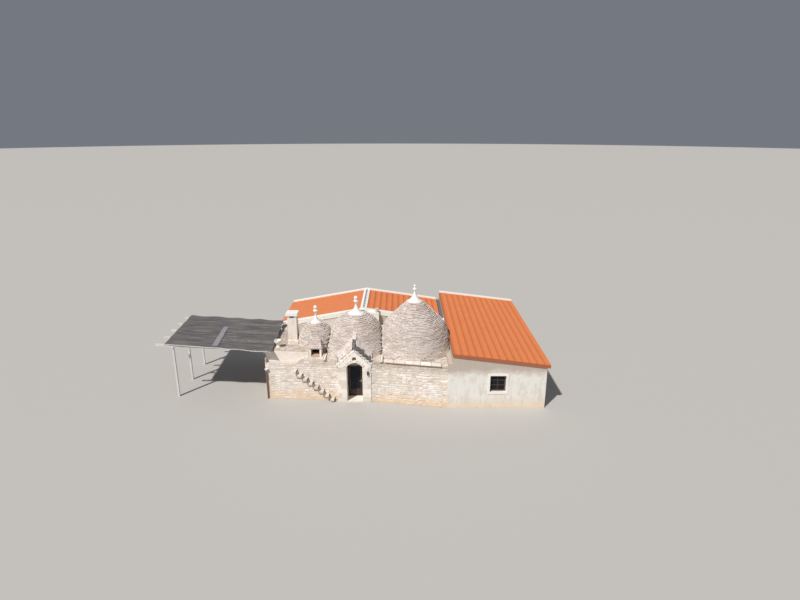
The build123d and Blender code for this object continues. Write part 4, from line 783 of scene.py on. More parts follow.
def plaster(tree, given):
    """Brushed limewash on rough plaster: soft dirt, faint runs down the face, fine cracks, trowel waves."""
    vector, wear = given["Vector"], given["Wear"]
    runs = noise(tree, squeeze(tree, vector, (6.0, 6.0, 0.9)), 1.4, 5.0, 0.6)
    blotch = noise(tree, vector, 2.3, 6.0, 0.62)
    trowel = noise(tree, vector, 7.0, 3.0, 0.5)
    grit = noise(tree, vector, 60.0, 4.0, 0.6)
    cracks = tree.nodes.new("ShaderNodeTexVoronoi")
    cracks.feature = "DISTANCE_TO_EDGE"
    give(tree, cracks.inputs["Scale"], 2.6)
    give(tree, cracks.inputs["Vector"], vector)
    hair = spread(tree, cracks.outputs["Distance"], 0.0, 0.012, 0.35, 0.0)
    dirty = times(tree, spread(tree, plus(tree, runs, blotch), 0.95, 1.35), wear)
    aged = mix(tree, dirty, given["Color"], given["Dirt"])
    cracked = mix(tree, times(tree, hair, wear), aged, (0.30, 0.27, 0.23))
    return {
        "Color": tinted(tree, spread(tree, trowel, 0.35, 0.65, 0.0, 0.25), cracked, (0.90, 0.88, 0.85)),
        "Height": plus(tree, times(tree, trowel, 0.8), times(tree, grit, 0.2)),
        "Roughness": spread(tree, blotch, 0.3, 0.7, 0.72, 0.92),
    }


def clay(tree, given):
    """Fired clay: a tone for each tile, sooty drifts, pale bloom, fine grit, and darkening near each tile's
    upper
    end, under the next tile: partly dirt, partly painted shadow of the course edges.
    """
    vector = given["Vector"]
    drift = noise(tree, vector, 0.9, 5.0, 0.6)
    bloom = noise(tree, vector, 9.0, 5.0, 0.6)
    toned = tinted(tree, spread(tree, given["Tone"], 0, 1, 0.0, 0.15), given["Color"], (0.84, 0.76, 0.70))
    sooty = mix(tree, spread(tree, drift, 0.55, 0.80, 0.0, 0.16), toned, (0.42, 0.16, 0.09))
    pale = mix(tree, spread(tree, bloom, 0.55, 0.75, 0.0, 0.14), sooty, (0.80, 0.45, 0.29))
    # Darker towards the top of each tile, under the next one's edge: partly dirt, partly painted shadow.
    overlap_dirt_and_shade = times(tree, spread(tree, given["Place"], 0.50, 0.98), given["Dirt"])
    return {
        "Color": mix(tree, overlap_dirt_and_shade, pale, (0.22, 0.070, 0.035)),
        "Height": noise(tree, vector, 110.0, 3.0, 0.6),
        "Roughness": spread(tree, bloom, 0.3, 0.7, 0.68, 0.88),
    }


def timber(tree, given):
    """Planed timber: grain drawn out along one axis, worn lighter or darker along the fibres."""
    fibres = noise(tree, given["Vector"], 14.0, 6.0, 0.65)
    patches = noise(tree, given["Vector"], 2.2, 5.0, 0.6)
    dark = tinted(tree, spread(tree, fibres, 0.35, 0.65, 0.0, 0.5), given["Color"], (0.60, 0.56, 0.52))
    worn = times(tree, spread(tree, plus(tree, fibres, patches), 1.02, 1.30), given["Wear"])
    return {
        "Color": mix(tree, worn, dark, given["Marks"]),
        "Height": fibres,
        "Roughness": spread(tree, patches, 0.3, 0.7, 0.45, 0.75),
    }


def metal(tree, given):
    """Painted or bare metal outdoors: dust, water marks and rust freckles."""
    vector = given["Vector"]
    freckles = noise(tree, vector, 38.0, 6.0, 0.7)
    streaks = noise(tree, squeeze(tree, vector, (9.0, 9.0, 1.2)), 2.0, 5.0, 0.6)
    dusty = mix(tree, spread(tree, streaks, 0.45, 0.75, 0.0, 0.14), given["Color"], (0.50, 0.45, 0.40))
    worn = times(tree, spread(tree, freckles, 0.56, 0.68), given["Wear"])
    return {
        "Color": mix(tree, worn, dusty, given["Marks"]),
        "Height": freckles,
        "Roughness": spread(tree, streaks, 0.3, 0.7, 0.35, 0.7),
    }


def net(tree, given):
    """Knitted shade net: fine crossed threads from the cloth's own map, dust drifts, paler creases, and dust
    caught in rows at the end beside the house."""
    vector = given["Vector"]
    threads = []
    for direction in ("X", "Y"):
        wave = tree.nodes.new("ShaderNodeTexWave")
        wave.bands_direction = direction
        for label, value in (("Scale", 42.0), ("Distortion", 0.6), ("Vector", vector)):
            give(tree, wave.inputs[label], value)
        threads.append(wave.outputs["Fac"])
    weave = times(tree, *threads)
    dust = noise(tree, squeeze(tree, vector, (1.0, 2.2, 1.0)), 1.1, 6.0, 0.65)
    creases = noise(tree, squeeze(tree, vector, (0.35, 9.0, 1.0)), 1.6, 6.0, 0.7)
    base = mix(tree, spread(tree, weave, 0.0, 1.0, 0.0, 0.45), given["Color"], (0.30, 0.28, 0.27))
    dusty = mix(tree, spread(tree, dust, 0.42, 0.72, 0.0, 0.42), base, given["Dust"])
    creased = mix(tree, spread(tree, creases, 0.46, 0.66, 0.0, 0.85), dusty, (0.30, 0.28, 0.28))
    place = separate(tree, vector)
    rows = combine(tree, "PINGPONG", plus(tree, place["Y"], 0.4), 0.7)
    house_end = spread(tree, place["X"], -8.6, -7.4, 0.1, 1.0)
    speckle = spread(tree, noise(tree, squeeze(tree, vector, (1.6, 6.0, 1.0)), 3.0, 6.0, 0.75), 0.46, 0.62)
    caught = times(tree, times(tree, spread(tree, rows, 0.06, 0.26, 0.8, 0.0), speckle), house_end)
    return {
        "Color": mix(tree, caught, creased, (0.36, 0.34, 0.33)),
        "Height": weave,
        "Roughness": spread(tree, dust, 0.3, 0.7, 0.75, 0.95),
    }


# Each effect's inputs beside the vector, with a usual value
EFFECTS = {
    stone: {"Tone": 0.5, "Color": (0.6, 0.5, 0.4), "Growth color": (0.2, 0.2, 0.2), "Growth": 0.5},
    foot_stain: {"Color": (0.8, 0.7, 0.6), "Stain": (0.6, 0.4, 0.2), "Strength": 0.8},
    plaster: {"Color": (0.9, 0.88, 0.85), "Dirt": (0.4, 0.36, 0.3), "Wear": 0.5},
    clay: {"Tone": 0.5, "Color": (0.7, 0.25, 0.1), "Place": 0.5, "Dirt": 0.0},
    timber: {"Color": (0.3, 0.2, 0.1), "Marks": (0.4, 0.3, 0.2), "Wear": 0.4},
    metal: {"Color": (0.3, 0.3, 0.3), "Marks": (0.4, 0.2, 0.1), "Wear": 0.4},
    net: {"Color": (0.1, 0.1, 0.1), "Dust": (0.4, 0.38, 0.35)},
}


def effect_group(effect):
    """The node group of an effect, built the first time that it is asked for."""
    name = effect.__name__.replace("_", " ").capitalize()
    if name in bpy.data.node_groups:
        return bpy.data.node_groups[name]
    group = bpy.data.node_groups.new(name, "ShaderNodeTree")
    group.interface.new_socket(name="Vector", in_out="INPUT", socket_type="NodeSocketVector")
    for label, usual in EFFECTS[effect].items():
        kind = "NodeSocketColor" if isinstance(usual, tuple) else "NodeSocketFloat"
        socket = group.interface.new_socket(name=label, in_out="INPUT", socket_type=kind)
        socket.default_value = (*usual, 1.0) if isinstance(usual, tuple) else usual
    results = effect(group, group.nodes.new("NodeGroupInput").outputs)
    for label in results:
        kind = "NodeSocketColor" if label == "Color" else "NodeSocketFloat"
        group.interface.new_socket(name=label, in_out="OUTPUT", socket_type=kind)
    end = group.nodes.new("NodeGroupOutput")
    for label, value in results.items():
        group.links.new(value, end.inputs[label])
    return group


# materials


def new_finish(name, metallic=0.0, specular=0.5):
    """A material with a plain principled shader, its node tree and its shader."""
    material = bpy.data.materials.new(name)
    material.use_nodes = True
    shader = material.node_tree.nodes["Principled BSDF"]
    shader.inputs["Metallic"].default_value = metallic
    shader.inputs["Specular IOR Level"].default_value = specular
    return material, material.node_tree, shader


def place_effect(tree, effect, vector, values):
    """One effect in a material, with its own values; a word stands for one of the scene's colours."""
    node = tree.nodes.new("ShaderNodeGroup")
    node.node_tree = effect_group(effect)
    for label, value in {"Vector": vector, **values}.items():
        if isinstance(value, str):
            value = tuple(getattr(bpy.context.scene.trullo_colours, value))
        give(tree, node.inputs[label], value)
    return node.outputs


def coordinates(tree, kind):
    """The piece's own coordinates in metres, or its place on the map."""
    return tree.nodes.new("ShaderNodeTexCoord").outputs[kind]


def effect_finish(
    name, effect, values, specular=0.5, metallic=0.0, coat=0.0, sheen=0.0, strength=0.4, relief=0.002,
    toned=False, stain=0.0, factors=None, on_map=False,
):
    """A finish of one effect, with relief from its height. It may vary with the tone that each stone or tile
    carries, with the place on a tile's map, and with earth at its foot. Factors draw it out along an axis."""
    material, tree, shader = new_finish(name, metallic, specular)
    vector = coordinates(tree, "UV" if on_map else "Object")
    if factors:
        vector = squeeze(tree, vector, factors)
    if toned:
        tone = tree.nodes.new("ShaderNodeAttribute")
        tone.attribute_name = "tone"
        values = {**values, "Tone": tone.outputs["Fac"]}
    if values.get("Dirt") and effect is clay:
        values = {**values, "Place": separate(tree, coordinates(tree, "UV"))["Y"]}
    surface = place_effect(tree, effect, vector, values)
    color = surface["Color"]
    if stain:
        earth = {"Color": color, "Stain": "earth", "Strength": stain}
        color = place_effect(tree, foot_stain, vector, earth)["Color"]
    bump = tree.nodes.new("ShaderNodeBump")
    for label, value in (("Strength", strength), ("Distance", relief), ("Height", surface["Height"])):
        give(tree, bump.inputs[label], value)
    links = {"Base Color": color, "Roughness": surface["Roughness"], "Normal": bump.outputs["Normal"]}
    for label, value in {**links, "Coat Weight": coat, "Sheen Weight": sheen}.items():
        give(tree, shader.inputs[label], value)
    return material


def stone_look(tint, growth, growth_tint="lichen", **others):
    """Limestone, with a tone for each stone."""
    values = {"Color": tint, "Growth color": growth_tint, "Growth": growth}
    usual = {"specular": 0.25, "strength": 0.6, "relief": 0.006, "toned": True}
    return {"effect": stone, "values": values, **usual, **others}


def plaster_look(tint, wear, dirt=(0.46, 0.40, 0.33), **others):
    """Limewashed plaster."""
    values = {"Color": tint, "Dirt": dirt, "Wear": wear}
    return {"effect": plaster, "values": values, "specular": 0.2, "strength": 0.5, "relief": 0.008, **others}


def clay_look(tint, dirt=0.0, toned=True):
    """Fired clay, with darkening near each tile's upper end where the pieces carry a map along each tile:
    partly dirt, partly painted shadow of the course edges.
    """
    return {"effect": clay, "values": {"Color": tint, "Dirt": dirt}, "specular": 0.3, "toned": toned}


def worn_look(effect, tint, marks, wear, **others):
    """Timber or metal with its marks of wear."""
    return {"effect": effect, "values": {"Color": tint, "Marks": marks, "Wear": wear}, **others}


def net_look(tint, dust):
    """Shade net on the cloth's own map."""
    values = {"Color": tint, "Dust": dust}
    return {"effect": net, "values": values, "specular": 0.2, "strength": 0.5, "sheen": 0.25, "on_map": True}


GRAIN_LEVEL, GRAIN_UPRIGHT = (0.35, 3.0, 3.0), (3.0, 3.0, 0.35)

LOOKS = {
    "cone_slab": stone_look("cone", 0.16),
    # The core is much darker than the slabs, so that the gaps between them show as dark lines: painted shade.
    "cone_core": stone_look((0.27, 0.245, 0.225), 0.3, toned=False),
    # Dark grey: painted shade on part of the portal's roof.
    "shaded_slab": stone_look((0.20, 0.19, 0.195), 0.3),
    # Near black: painted shadow lines in gaps and valleys, with some dirt in the valleys.
    "seam": stone_look((0.030, 0.025, 0.022), 0.2, toned=False),
    "wall_face": stone_look("wall", 0.62, (0.42, 0.37, 0.355), stain=0.75),
    "wall_core": stone_look((0.80, 0.74, 0.685), 0.3, (0.55, 0.48, 0.43), stain=0.75, toned=False),
    "roof_slab": stone_look((0.76, 0.69, 0.625), 0.30),
    "left_roof_slab": stone_look((0.66, 0.585, 0.53), 0.40),
    "roof_core": stone_look((0.60, 0.53, 0.47), 0.3, toned=False),
    "cut_stone": stone_look("dressed", 0.08, relief=0.004),
    "cut_solid": stone_look("dressed", 0.08, relief=0.004, toned=False),
    # Near black: painted shade on the right flank of each step.
    "step_crust": stone_look((0.075, 0.052, 0.042), 0.2, relief=0.004),
    # Darker than the wall stone so that the steps' sunlit tops match the wall: painted shade.
    "step_stone": stone_look((0.80, 0.75, 0.69), 0.2, relief=0.004),
    "coping_stone": stone_look((0.95, 0.89, 0.82), 0.08, relief=0.004),
    "sill_stone": stone_look((0.70, 0.52, 0.40), 0.1, relief=0.004),
    "floor_stone": stone_look((0.62, 0.53, 0.42), 0.1, relief=0.003, toned=False),
    "band_plaster": stone_look((0.98, 0.93, 0.88), 0.3, (0.60, 0.47, 0.40), toned=False),
    "limewash": plaster_look("plaster", 0.22),
    "limewash_wall": plaster_look("plaster", 0.45, stain=0.6),
    "chimney_plaster": plaster_look((0.91, 0.85, 0.785), 0.6, (0.55, 0.40, 0.31)),
    # Slopes falling away from the sun get strong darkening under the tile above, the sunny slope almost none:
    # painted shadow of the course edges, partly dirt.
    "roof_tile": clay_look((0.76, 0.235, 0.085), 0.45),
    "sunny_tile": clay_look("tile", 0.05),
    "tile_bed": clay_look((0.42, 0.14, 0.07), toned=False),
    "flue_clay": clay_look((0.80, 0.73, 0.68), toned=False),
    "ridge_clay": clay_look((0.42, 0.43, 0.50)),
    "ochre_glaze": {"effect": clay, "values": {"Color": (0.26, 0.165, 0.08)}, "coat": 0.2},
    "white_timber": worn_look(timber, "timber", (0.46, 0.40, 0.33), 0.35, factors=GRAIN_LEVEL),
    "white_post": worn_look(timber, "timber", (0.46, 0.40, 0.33), 0.35, factors=GRAIN_UPRIGHT),
    "door_timber": worn_look(timber, "door", (0.17, 0.10, 0.06), 0.6, factors=GRAIN_UPRIGHT, coat=0.15),
    "sash_timber": worn_look(timber, (0.13, 0.07, 0.04), (0.24, 0.16, 0.10), 0.6, factors=(2.0, 2.0, 0.6)),
    "grey_metal": worn_look(metal, (0.060, 0.040, 0.038), (0.20, 0.10, 0.06), 0.2),
    "black_metal": worn_look(metal, (0.018, 0.018, 0.018), (0.10, 0.05, 0.03), 0.3, metallic=0.3),
    "brown_metal": worn_look(metal, (0.050, 0.020, 0.018), (0.04, 0.02, 0.015), 0.4),
    "white_metal": worn_look(metal, (0.80, 0.80, 0.77), (0.35, 0.20, 0.12), 0.3),
    "brass": worn_look(metal, (0.24, 0.16, 0.07), (0.08, 0.05, 0.03), 0.5, metallic=1.0),
    "dark_net": net_look("cloth", (0.17, 0.155, 0.14)),
    "pale_net": net_look((0.27, 0.27, 0.32), (0.40, 0.39, 0.42)),
    # Near black: painted shadow beside the pale strip of the cloth.
    "black_net": net_look((0.012, 0.011, 0.014), (0.05, 0.045, 0.045)),
    "net_border": net_look((0.85, 0.84, 0.80), (0.60, 0.56, 0.52)),
}


def glass_finish(name):
    """Window glass with a film of dust that shows in its roughness. Its dark body, which lets little light
    through, paints the shade of the dark spaces behind it.
    """
    material, tree, shader = new_finish(name, specular=0.2)
    film = noise(tree, coordinates(tree, "Object"), 3.5, 5.0, 0.6)
    dusty = spread(tree, film, 0.35, 0.7, 0.03, 0.22)
    look = {"Base Color": (0.010, 0.014, 0.024), "Transmission Weight": 0.05, "IOR": 1.45, "Roughness": dusty}
    for label, value in look.items():
        give(tree, shader.inputs[label], value)
    return material


def finish_for(name):
    """The material for a finish, made once."""
    if name in bpy.data.materials:
        return bpy.data.materials[name]
    return effect_finish(name, **LOOKS[name]) if name in LOOKS else glass_finish(name)


NODE_FINISHES = {
    "wall_core": ("front_wall_left", "front_wall_right", "west_wall", "dormer"),
    "limewash_wall": (
        "cross_walls", "dividing_wall", "rear_west_wall", "rear_north_wall", "annex_west_wall",
        "annex_end_walls", "annex_east_wall",
    ),
    "cone_core": ("left_cone", "middle_cone", "right_cone", "portal_roof"),
    "roof_core": ("roof_deck", "left_roof"),
    "cut_solid": ("portal_jambs", "portal_gable", "door_threshold", "rain_spouts", "roof_vase"),
    "limewash": ("roof_copings", "ridge_mortar", "flue_block", "chimney_cap", "window_surrounds"),
    "chimney_plaster": ("chimney_stack",),
    "floor_stone": ("floor",),
    "tile_bed": ("rear_roof_left", "rear_roof_right", "annex_roof"),
    "flue_clay": ("flue_pot",),
    "ochre_glaze": ("niche_jar",),
    "white_timber": ("pergola_rafters", "pergola_beams"),
    "white_post": ("pergola_posts",),
    "door_timber": ("door_leaf", "door_frame"),
    "sash_timber": ("window_sashes",),
    "grey_metal": ("box_gutter",),
    "black_metal": ("wall_lantern",),
    "brown_metal": ("downpipe",),
    "white_metal": ("rain_hopper",),
    "brass": ("door_handle",),
    "window_glass": ("door_glass", "fanlight_glass", "window_panes", "lantern_glass"),
}


# portal, steps, coping, dormer, pinnacles and cloth


def jamb_blocks(rng):
    """Long and short blocks in turn up both jambs, with a second block beside each short one."""
    parts = []
    for side in (-1, 1):
        z, height = split_run(0.0, PORTAL_SPRING, 0.27, rng, 0.15)
        short = np.arange(len(z)) % 2 == 1
        width, height = np.where(short, SHORT_JAMB, LONG_JAMB), height - 0.004
        place = at(side * (DOOR_HALF + width / 2), PORTAL_FRONT, z)
        parts.append(lay_blocks(place, RIGHT, UP, width, height, 0.052, 0.02, rng, 0.005, 0.008))
        place = at(side * (DOOR_HALF + SHORT_JAMB + 0.093), PORTAL_FRONT, z[short])
        parts.append(lay_blocks(place, RIGHT, UP, 0.180, height[short], 0.051, 0.02, rng, 0.005, 0.008))
    return parts


def arch_blocks(rng):
    """Wedge stones round the arch; those under the niche are shorter."""
    head = PORTAL_SPRING + ARCH_RISE
    arch = arc_through((-ARCH_HALF, PORTAL_SPRING), (0, head), (ARCH_HALF, PORTAL_SPRING), 19)[1::2]
    spoke = unit(arch - np.array([0.0, ARCH_CENTRE]))
    middle = arch + spoke * 0.083
    across, upward = at(spoke[:, 1], 0.0, -spoke[:, 0]), at(spoke[:, 0], 0.0, spoke[:, 1])
    short = np.abs(middle[:, 0]) <= 0.16
    place = at(middle[:, 0], PORTAL_FRONT, middle[:, 1]) - np.where(short, 0.047, 0.0)[:, None] * upward
    tall = np.where(short, 0.056, 0.15)
    return lay_blocks(place, across, upward, 0.115, tall, 0.056, 0.02, rng, 0.005, 0.010)


def gable_plates():
    """Thin plates between the arch and the gable's edges: left and right of the niche, under and over it."""
    niche_foot = PORTAL_SPRING + ARCH_RISE + 0.14

    def over_arch(x):
        arch = ARCH_CENTRE + np.sqrt(np.clip((ARCH_RADIUS + 0.15) ** 2 - x**2, 0, None))
        return np.where(np.abs(x) < ARCH_HALF + 0.155, np.maximum(arch, PORTAL_SPRING), PORTAL_SPRING)

    def gable_edge(x):
        return PORTAL_SPRING + PORTAL_RISE * (1 - np.abs(x) / PORTAL_HALF) + 0.125

    def level(z):
        return lambda x: np.full_like(x, z)

    spans = (
        (-PORTAL_HALF, -NICHE_HALF, over_arch, gable_edge),
        (NICHE_HALF, PORTAL_HALF, over_arch, gable_edge),
        (-NICHE_HALF, NICHE_HALF, level(niche_foot - 0.08), level(niche_foot)),
        (-NICHE_HALF, NICHE_HALF, level(niche_foot + NICHE_TALL), gable_edge),
    )
    plates = [upright_plate(*span, PORTAL_FRONT - 0.050, 0.055) for span in spans]
    return [(points, quads, np.full(len(points), 0.1)) for points, quads in plates]


def portal_roof(rng):
    """The portal's roof as four lists: slabs, slabs in painted shade, blocks of both rakes, and painted shadow
    lines.
    """
    climb = unit(np.array(PORTAL_CLIMB))
    reach = float(np.linalg.norm(PORTAL_CLIMB))
    flank = math.hypot(PORTAL_HALF, PORTAL_RISE)
    over = PORTAL_COVER * flank / PORTAL_HALF
    ridge = np.array([0.0, PORTAL_FRONT, PORTAL_SPRING + PORTAL_RISE + over])
    eave_x = PORTAL_HALF + RAKE_OVERHANG * PORTAL_HALF / flank
    eave_z = PORTAL_SPRING - RAKE_OVERHANG * PORTAL_RISE / flank + over
    slabs, shaded, rakes, shadow_bars = [], [], [], []
    for side in (-1, 1):
        eave = np.array([side * eave_x, PORTAL_FRONT, eave_z])
        rise = ridge - eave
        length = np.linalg.norm(rise)
        along, up, width, height = coursed(-0.06, reach, 0.0, length - 0.01, 0.085, 0.24, rng)
        place = eave + along[:, None] * climb + (up / length)[:, None] * rise
        keep = ~inside_cone(place, CONES["middle"], 0.03)
        keep &= (place[:, 2] > WALL_TOP) | (place[:, 1] < front_line(place[:, 0]) + 0.05)
        across = side * climb
        outward = unit(np.cross(across, rise))
        upward = np.cross(outward, unit(across))
        # Slabs right of the ridge near the front, a raised row along the right rake and the ridge's front part
        # get a dark finish: painted shade. The bars along the left rake and the ridge are painted shadow lines.
        dark = keep & (side > 0) & (along < 0.45)
        for target, chosen in ((shaded, dark), (slabs, keep & ~dark)):
            if chosen.any():
                size = width[chosen] * 0.97, height[chosen] * 0.96
                raised = upward + 0.10 * outward
                target.append(lay_blocks(place[chosen], across, raised, *size, 0.014, 0.03, rng, 0.008, 0.07))
        edge = eave + (np.arange(0.13, length, 0.262) / length)[:, None] * rise
        rakes.append(
            lay_blocks(edge + 0.025 * climb, across, upward, 0.14, 0.260, 0.035, 0.03, rng, 0.004, 0.012, 0.2)
        )
        if side > 0:
            place = edge + 0.16 * climb
            shaded.append(lay_blocks(place, across, upward, 0.13, 0.255, 0.13, 0.03, rng, 0.010, 0.03, 0.2))
        else:
            line = eave + 0.115 * climb + 0.016 * outward + np.linspace(0.02, 1, 16)[:, None] * rise
            shadow_bars.append(seam(line, 0.024, 3.0))
    for start, stop, target, wide in ((0.10, 0.70, shaded, 0.13), (0.70, reach * 0.98, slabs, 0.22)):
        along, length = split_run(start, stop, 0.24, rng, 0.2)
        place = ridge + along[:, None] * climb + np.array([0, 0, 0.006])
        target.append(lay_blocks(place, RIGHT, climb, wide, length * 0.95, 0.02, 0.05, rng, 0.02, 0.05, 1.2))
    line = ridge + np.outer(np.linspace(0.06, 0.75, 14), climb) + np.array([-0.085, 0.0, -0.045])
    shadow_bars.append(seam(line, 0.030, 1.0))
    return slabs, shaded, rakes, shadow_bars


def build_steps(rng):
    """The flight of steps, with a dark plate on the right flank of each: painted shade."""
    number = np.arange(STEP_COUNT)
    x = FIRST_STEP_X - STEP_PITCH * number
    level = FIRST_STEP_TOP - STEP_THICK / 2 + STEP_RISE * number
    place = at(x, FRONT_LEFT_Y + FRONT_SLOPE * (x - HOUSE_LEFT), level)
    width = rng.uniform(0.215, 0.24, STEP_COUNT)
    reach = rng.uniform(0.33, 0.35, STEP_COUNT)
    laid = lay_blocks(place, ALONG_FRONT, UP, width, 0.115, reach, 0.24, rng, 0.010, 0.03, grid=(4, 3))
    steps = make_blocks("step_stones", laid, "step_stone")
    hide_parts("wall_steps")
    # Near-black plates on the right flank of each step: painted shade.
    flank = place + (width / 2 - 0.002)[:, None] * unit(ALONG_FRONT)
    laid = lay_blocks(flank, ALONG_FRONT, UP, 0.02, 0.098, 0.31, 0.1, rng, 0.003, 0.02)
    make_blocks("step_flanks", laid, "step_crust")


def build_coping(rng):
    """The pale coping slabs on the right front wall, with a dark bar behind them: painted shadow in the gap to
    the cone.
    """
    low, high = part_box("front_coping")
    along, length = split_run(low.x, high.x, 0.52, rng, 0.25)
    slope = (FRONT_RIGHT_Y - FRONT_KINK_Y) / (HOUSE_RIGHT - PORTAL_HALF)
    depth, overhang, tall = 0.38, 0.125, high.z - low.z + 0.012
    place = at(along, front_line(along) + 0.06 - overhang + depth / 2, WALL_TOP)
    width, across = length * 0.985, (1.0, slope, 0)
    laid = lay_blocks(
        place, across, BACKWARD, width, depth, tall, 0.004, rng, 0.010, 0.02, 0.4, (4, 3), (1.0, 1.0)
    )
    coping = make_blocks("coping_slabs", laid, "coping_stone")
    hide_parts("front_coping")
    run = np.linspace(low.x - 0.05, high.x, 60)
    line = at(run, front_line(run) + 0.06 - overhang + depth + 0.012, high.z - 0.005)
    make_blocks("coping_seam", seam(line, 0.018, 2.0), "seam")


def build_dormer(rng):
    """The dormer's sill, its jamb and head stones, and the courses that cover it."""
    low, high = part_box("dormer")
    place = np.array([[DORMER_MIDDLE, low.y + 0.15, WALL_TOP + 0.062]])
    laid = lay_blocks(place, RIGHT, (0, 1.0, 0.10), 0.49, 0.34, 0.030, 0.03, rng, 0.01, 0.01, 0.2, (5, 3))
    make_blocks("dormer_sill", laid, "sill_stone")
    stones = [(x, z, 0.105, 0.21) for x in (low.x + 0.054, high.x - 0.054) for z in (0.11, 0.33)]
    stones += [(DORMER_MIDDLE - 0.15, 0.505, 0.40, 0.05), (DORMER_MIDDLE + 0.20, 0.505, 0.30, 0.05)]
    x, rise, width, height = np.array(stones).T
    laid = lay_blocks(at(x, low.y, WALL_TOP + rise), RIGHT, UP, width, height, 0.008, 0.02, rng, 0.008, 0.03)
    make_blocks("dormer_stones", laid, "cut_stone")
    cover, rise = [], 0.065
    for course in range(5):
        half, front = 0.375 - 0.03 * course, low.y - 0.03 + 0.13 * course
        x, width = split_run(DORMER_MIDDLE - half, DORMER_MIDDLE + half, 0.2, rng)
        place = at(x, front, high.z + (course + 0.5) * rise)
        cover.append(lay_blocks(place, RIGHT, UP, width * 0.97, rise * 0.9, 0.01, 0.5, rng, 0.008, 0.08))
    make_blocks("dormer_cover", join_blocks(cover), "cone_slab")


def pinnacle_profile(lip, cap, stem, ring, ring_rise, ball, ball_rise):
    """Profile of a cap and its pinnacle: a hollow flank from lip to stem, a ring on the stem, and a ball."""
    shoulder = (stem + 0.36 * (lip - 0.02 - stem), 0.02 + 0.36 * (cap - 0.02))
    flank = arc_through((lip, 0.02), shoulder, (stem, cap), 14)
    disc = arc_through((stem, ring_rise - 0.03), (ring, ring_rise), (stem, ring_rise + 0.03), 12)
    start = ball_rise - math.sqrt(ball**2 - stem**2)
    globe = arc_through((stem, start), (ball, ball_rise), (0.0, ball_rise + ball), 20)
    profile = np.concatenate([[(0.0, 0.0), (lip - 0.01, 0.0), (lip, 0.008)], flank, disc, globe])
    profile[-1, 0] = 0.0
    return profile


def between(corners, across, back):
    """Places between four corners, front left, front right, back right and back left, by two shares."""
    weights = ((1 - across) * (1 - back), across * (1 - back), across * back, (1 - across) * back)
    return (sum(w * corner[axis] for w, corner in zip(weights, corners)) for axis in (0, 1))


def cloth_points(across, back, lift, sag, phase):
    """Cloth between its four corners: the plane of the rafters' tops plus a lift, minus sag times sin^2 of
    the place between two rafters, a droop beyond the outer ones, and small creases along and across."""
    low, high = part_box("pergola_rafters")
    climb = RAFTER_CLIMB / (high.x - low.x)
    pitch = (high.y - low.y - RAFTER_THICK) / RAFTER_BAYS
    x, y = between(CLOTH_CORNERS, across, back)
    bay = (y - low.y - RAFTER_THICK / 2) / pitch
    beyond = np.clip(-bay, 0, None) + np.clip(bay - RAFTER_BAYS, 0, None)
    uneven = 0.75 + 0.25 * np.sin(1.3 * x + phase[0] + 2 * np.floor(bay))
    hollow = np.where((bay > 0) & (bay < RAFTER_BAYS), sag * np.sin(math.pi * bay) ** 2 * uneven, 0.0)
    droop = 0.16 * beyond**1.2 * (1 + 0.5 * np.sin(4.1 * x + phase[3]))
    free = np.clip((hollow + droop) / 0.008, 0, 1)
    creases = 0.004 * np.sin(9 * y + 1.7 * x + phase[1]) + 0.003 * np.sin(5.1 * x - 2.3 * y + phase[2])
    pull = 0.004 * np.sin(26 * y + phase[4]) * np.exp(-(((x - RAFTER_END_X) / 0.8) ** 2))
    plane = RAFTER_LEVEL + climb * (RAFTER_END_X - x) + RAFTER_DEEP + lift
    return at(x, y, plane - hollow - droop + (creases + pull) * free)


def hang_cloth(name, points, finish, offset=-1.0):
    """One piece of cloth on a grid of points, with its map in metres."""
    rows, columns = points.shape[:2]
    flat = points.reshape(-1, 3)
    piece = make_piece(
        name, flat, [grid_quads(columns, rows)], finish, smooth=True, uv=flat[:, :2]
    )
    thicken(piece, 0.003, offset)
    return piece


# operators, one for each group of pieces


class TRULLO_OT_finishes(bpy.types.Operator):
    """Gives every solid of the model its finish"""

    bl_idname = "trullo.finishes"
    bl_label = "Finish the solids"

    def execute(self, context):
        for finish, nodes in NODE_FINISHES.items():
            for node in nodes:
                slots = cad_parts[node].data.materials
                slots.clear()
                slots.append(finish_for(finish))
        return {"FINISHED"}


class TRULLO_OT_cones(bpy.types.Operator):
    """Lays the corbelled slabs of the three cones"""

    bl_idname = "trullo.cones"
    bl_label = "Lay the cone slabs"

    def execute(self, context):
        for name in CONES:
            laid = cone_slabs(name, context.scene.trullo_stone)
            make_blocks(f"{name}_cone_slabs", laid, "cone_slab")
        # Near-black bars along the valleys where two cones meet: painted shadow, with some dirt.
        pairs = (("left", "middle"), ("middle", "right"))
        lines = [valley_line(CONES[a], CONES[b], side) for a, b in pairs for side in (-1, 1)]
        bars = [seam(line, 0.036, number) for number, line in enumerate(lines)]
        make_blocks("valley_seams", join_blocks(bars), "seam")
        return {"FINISHED"}


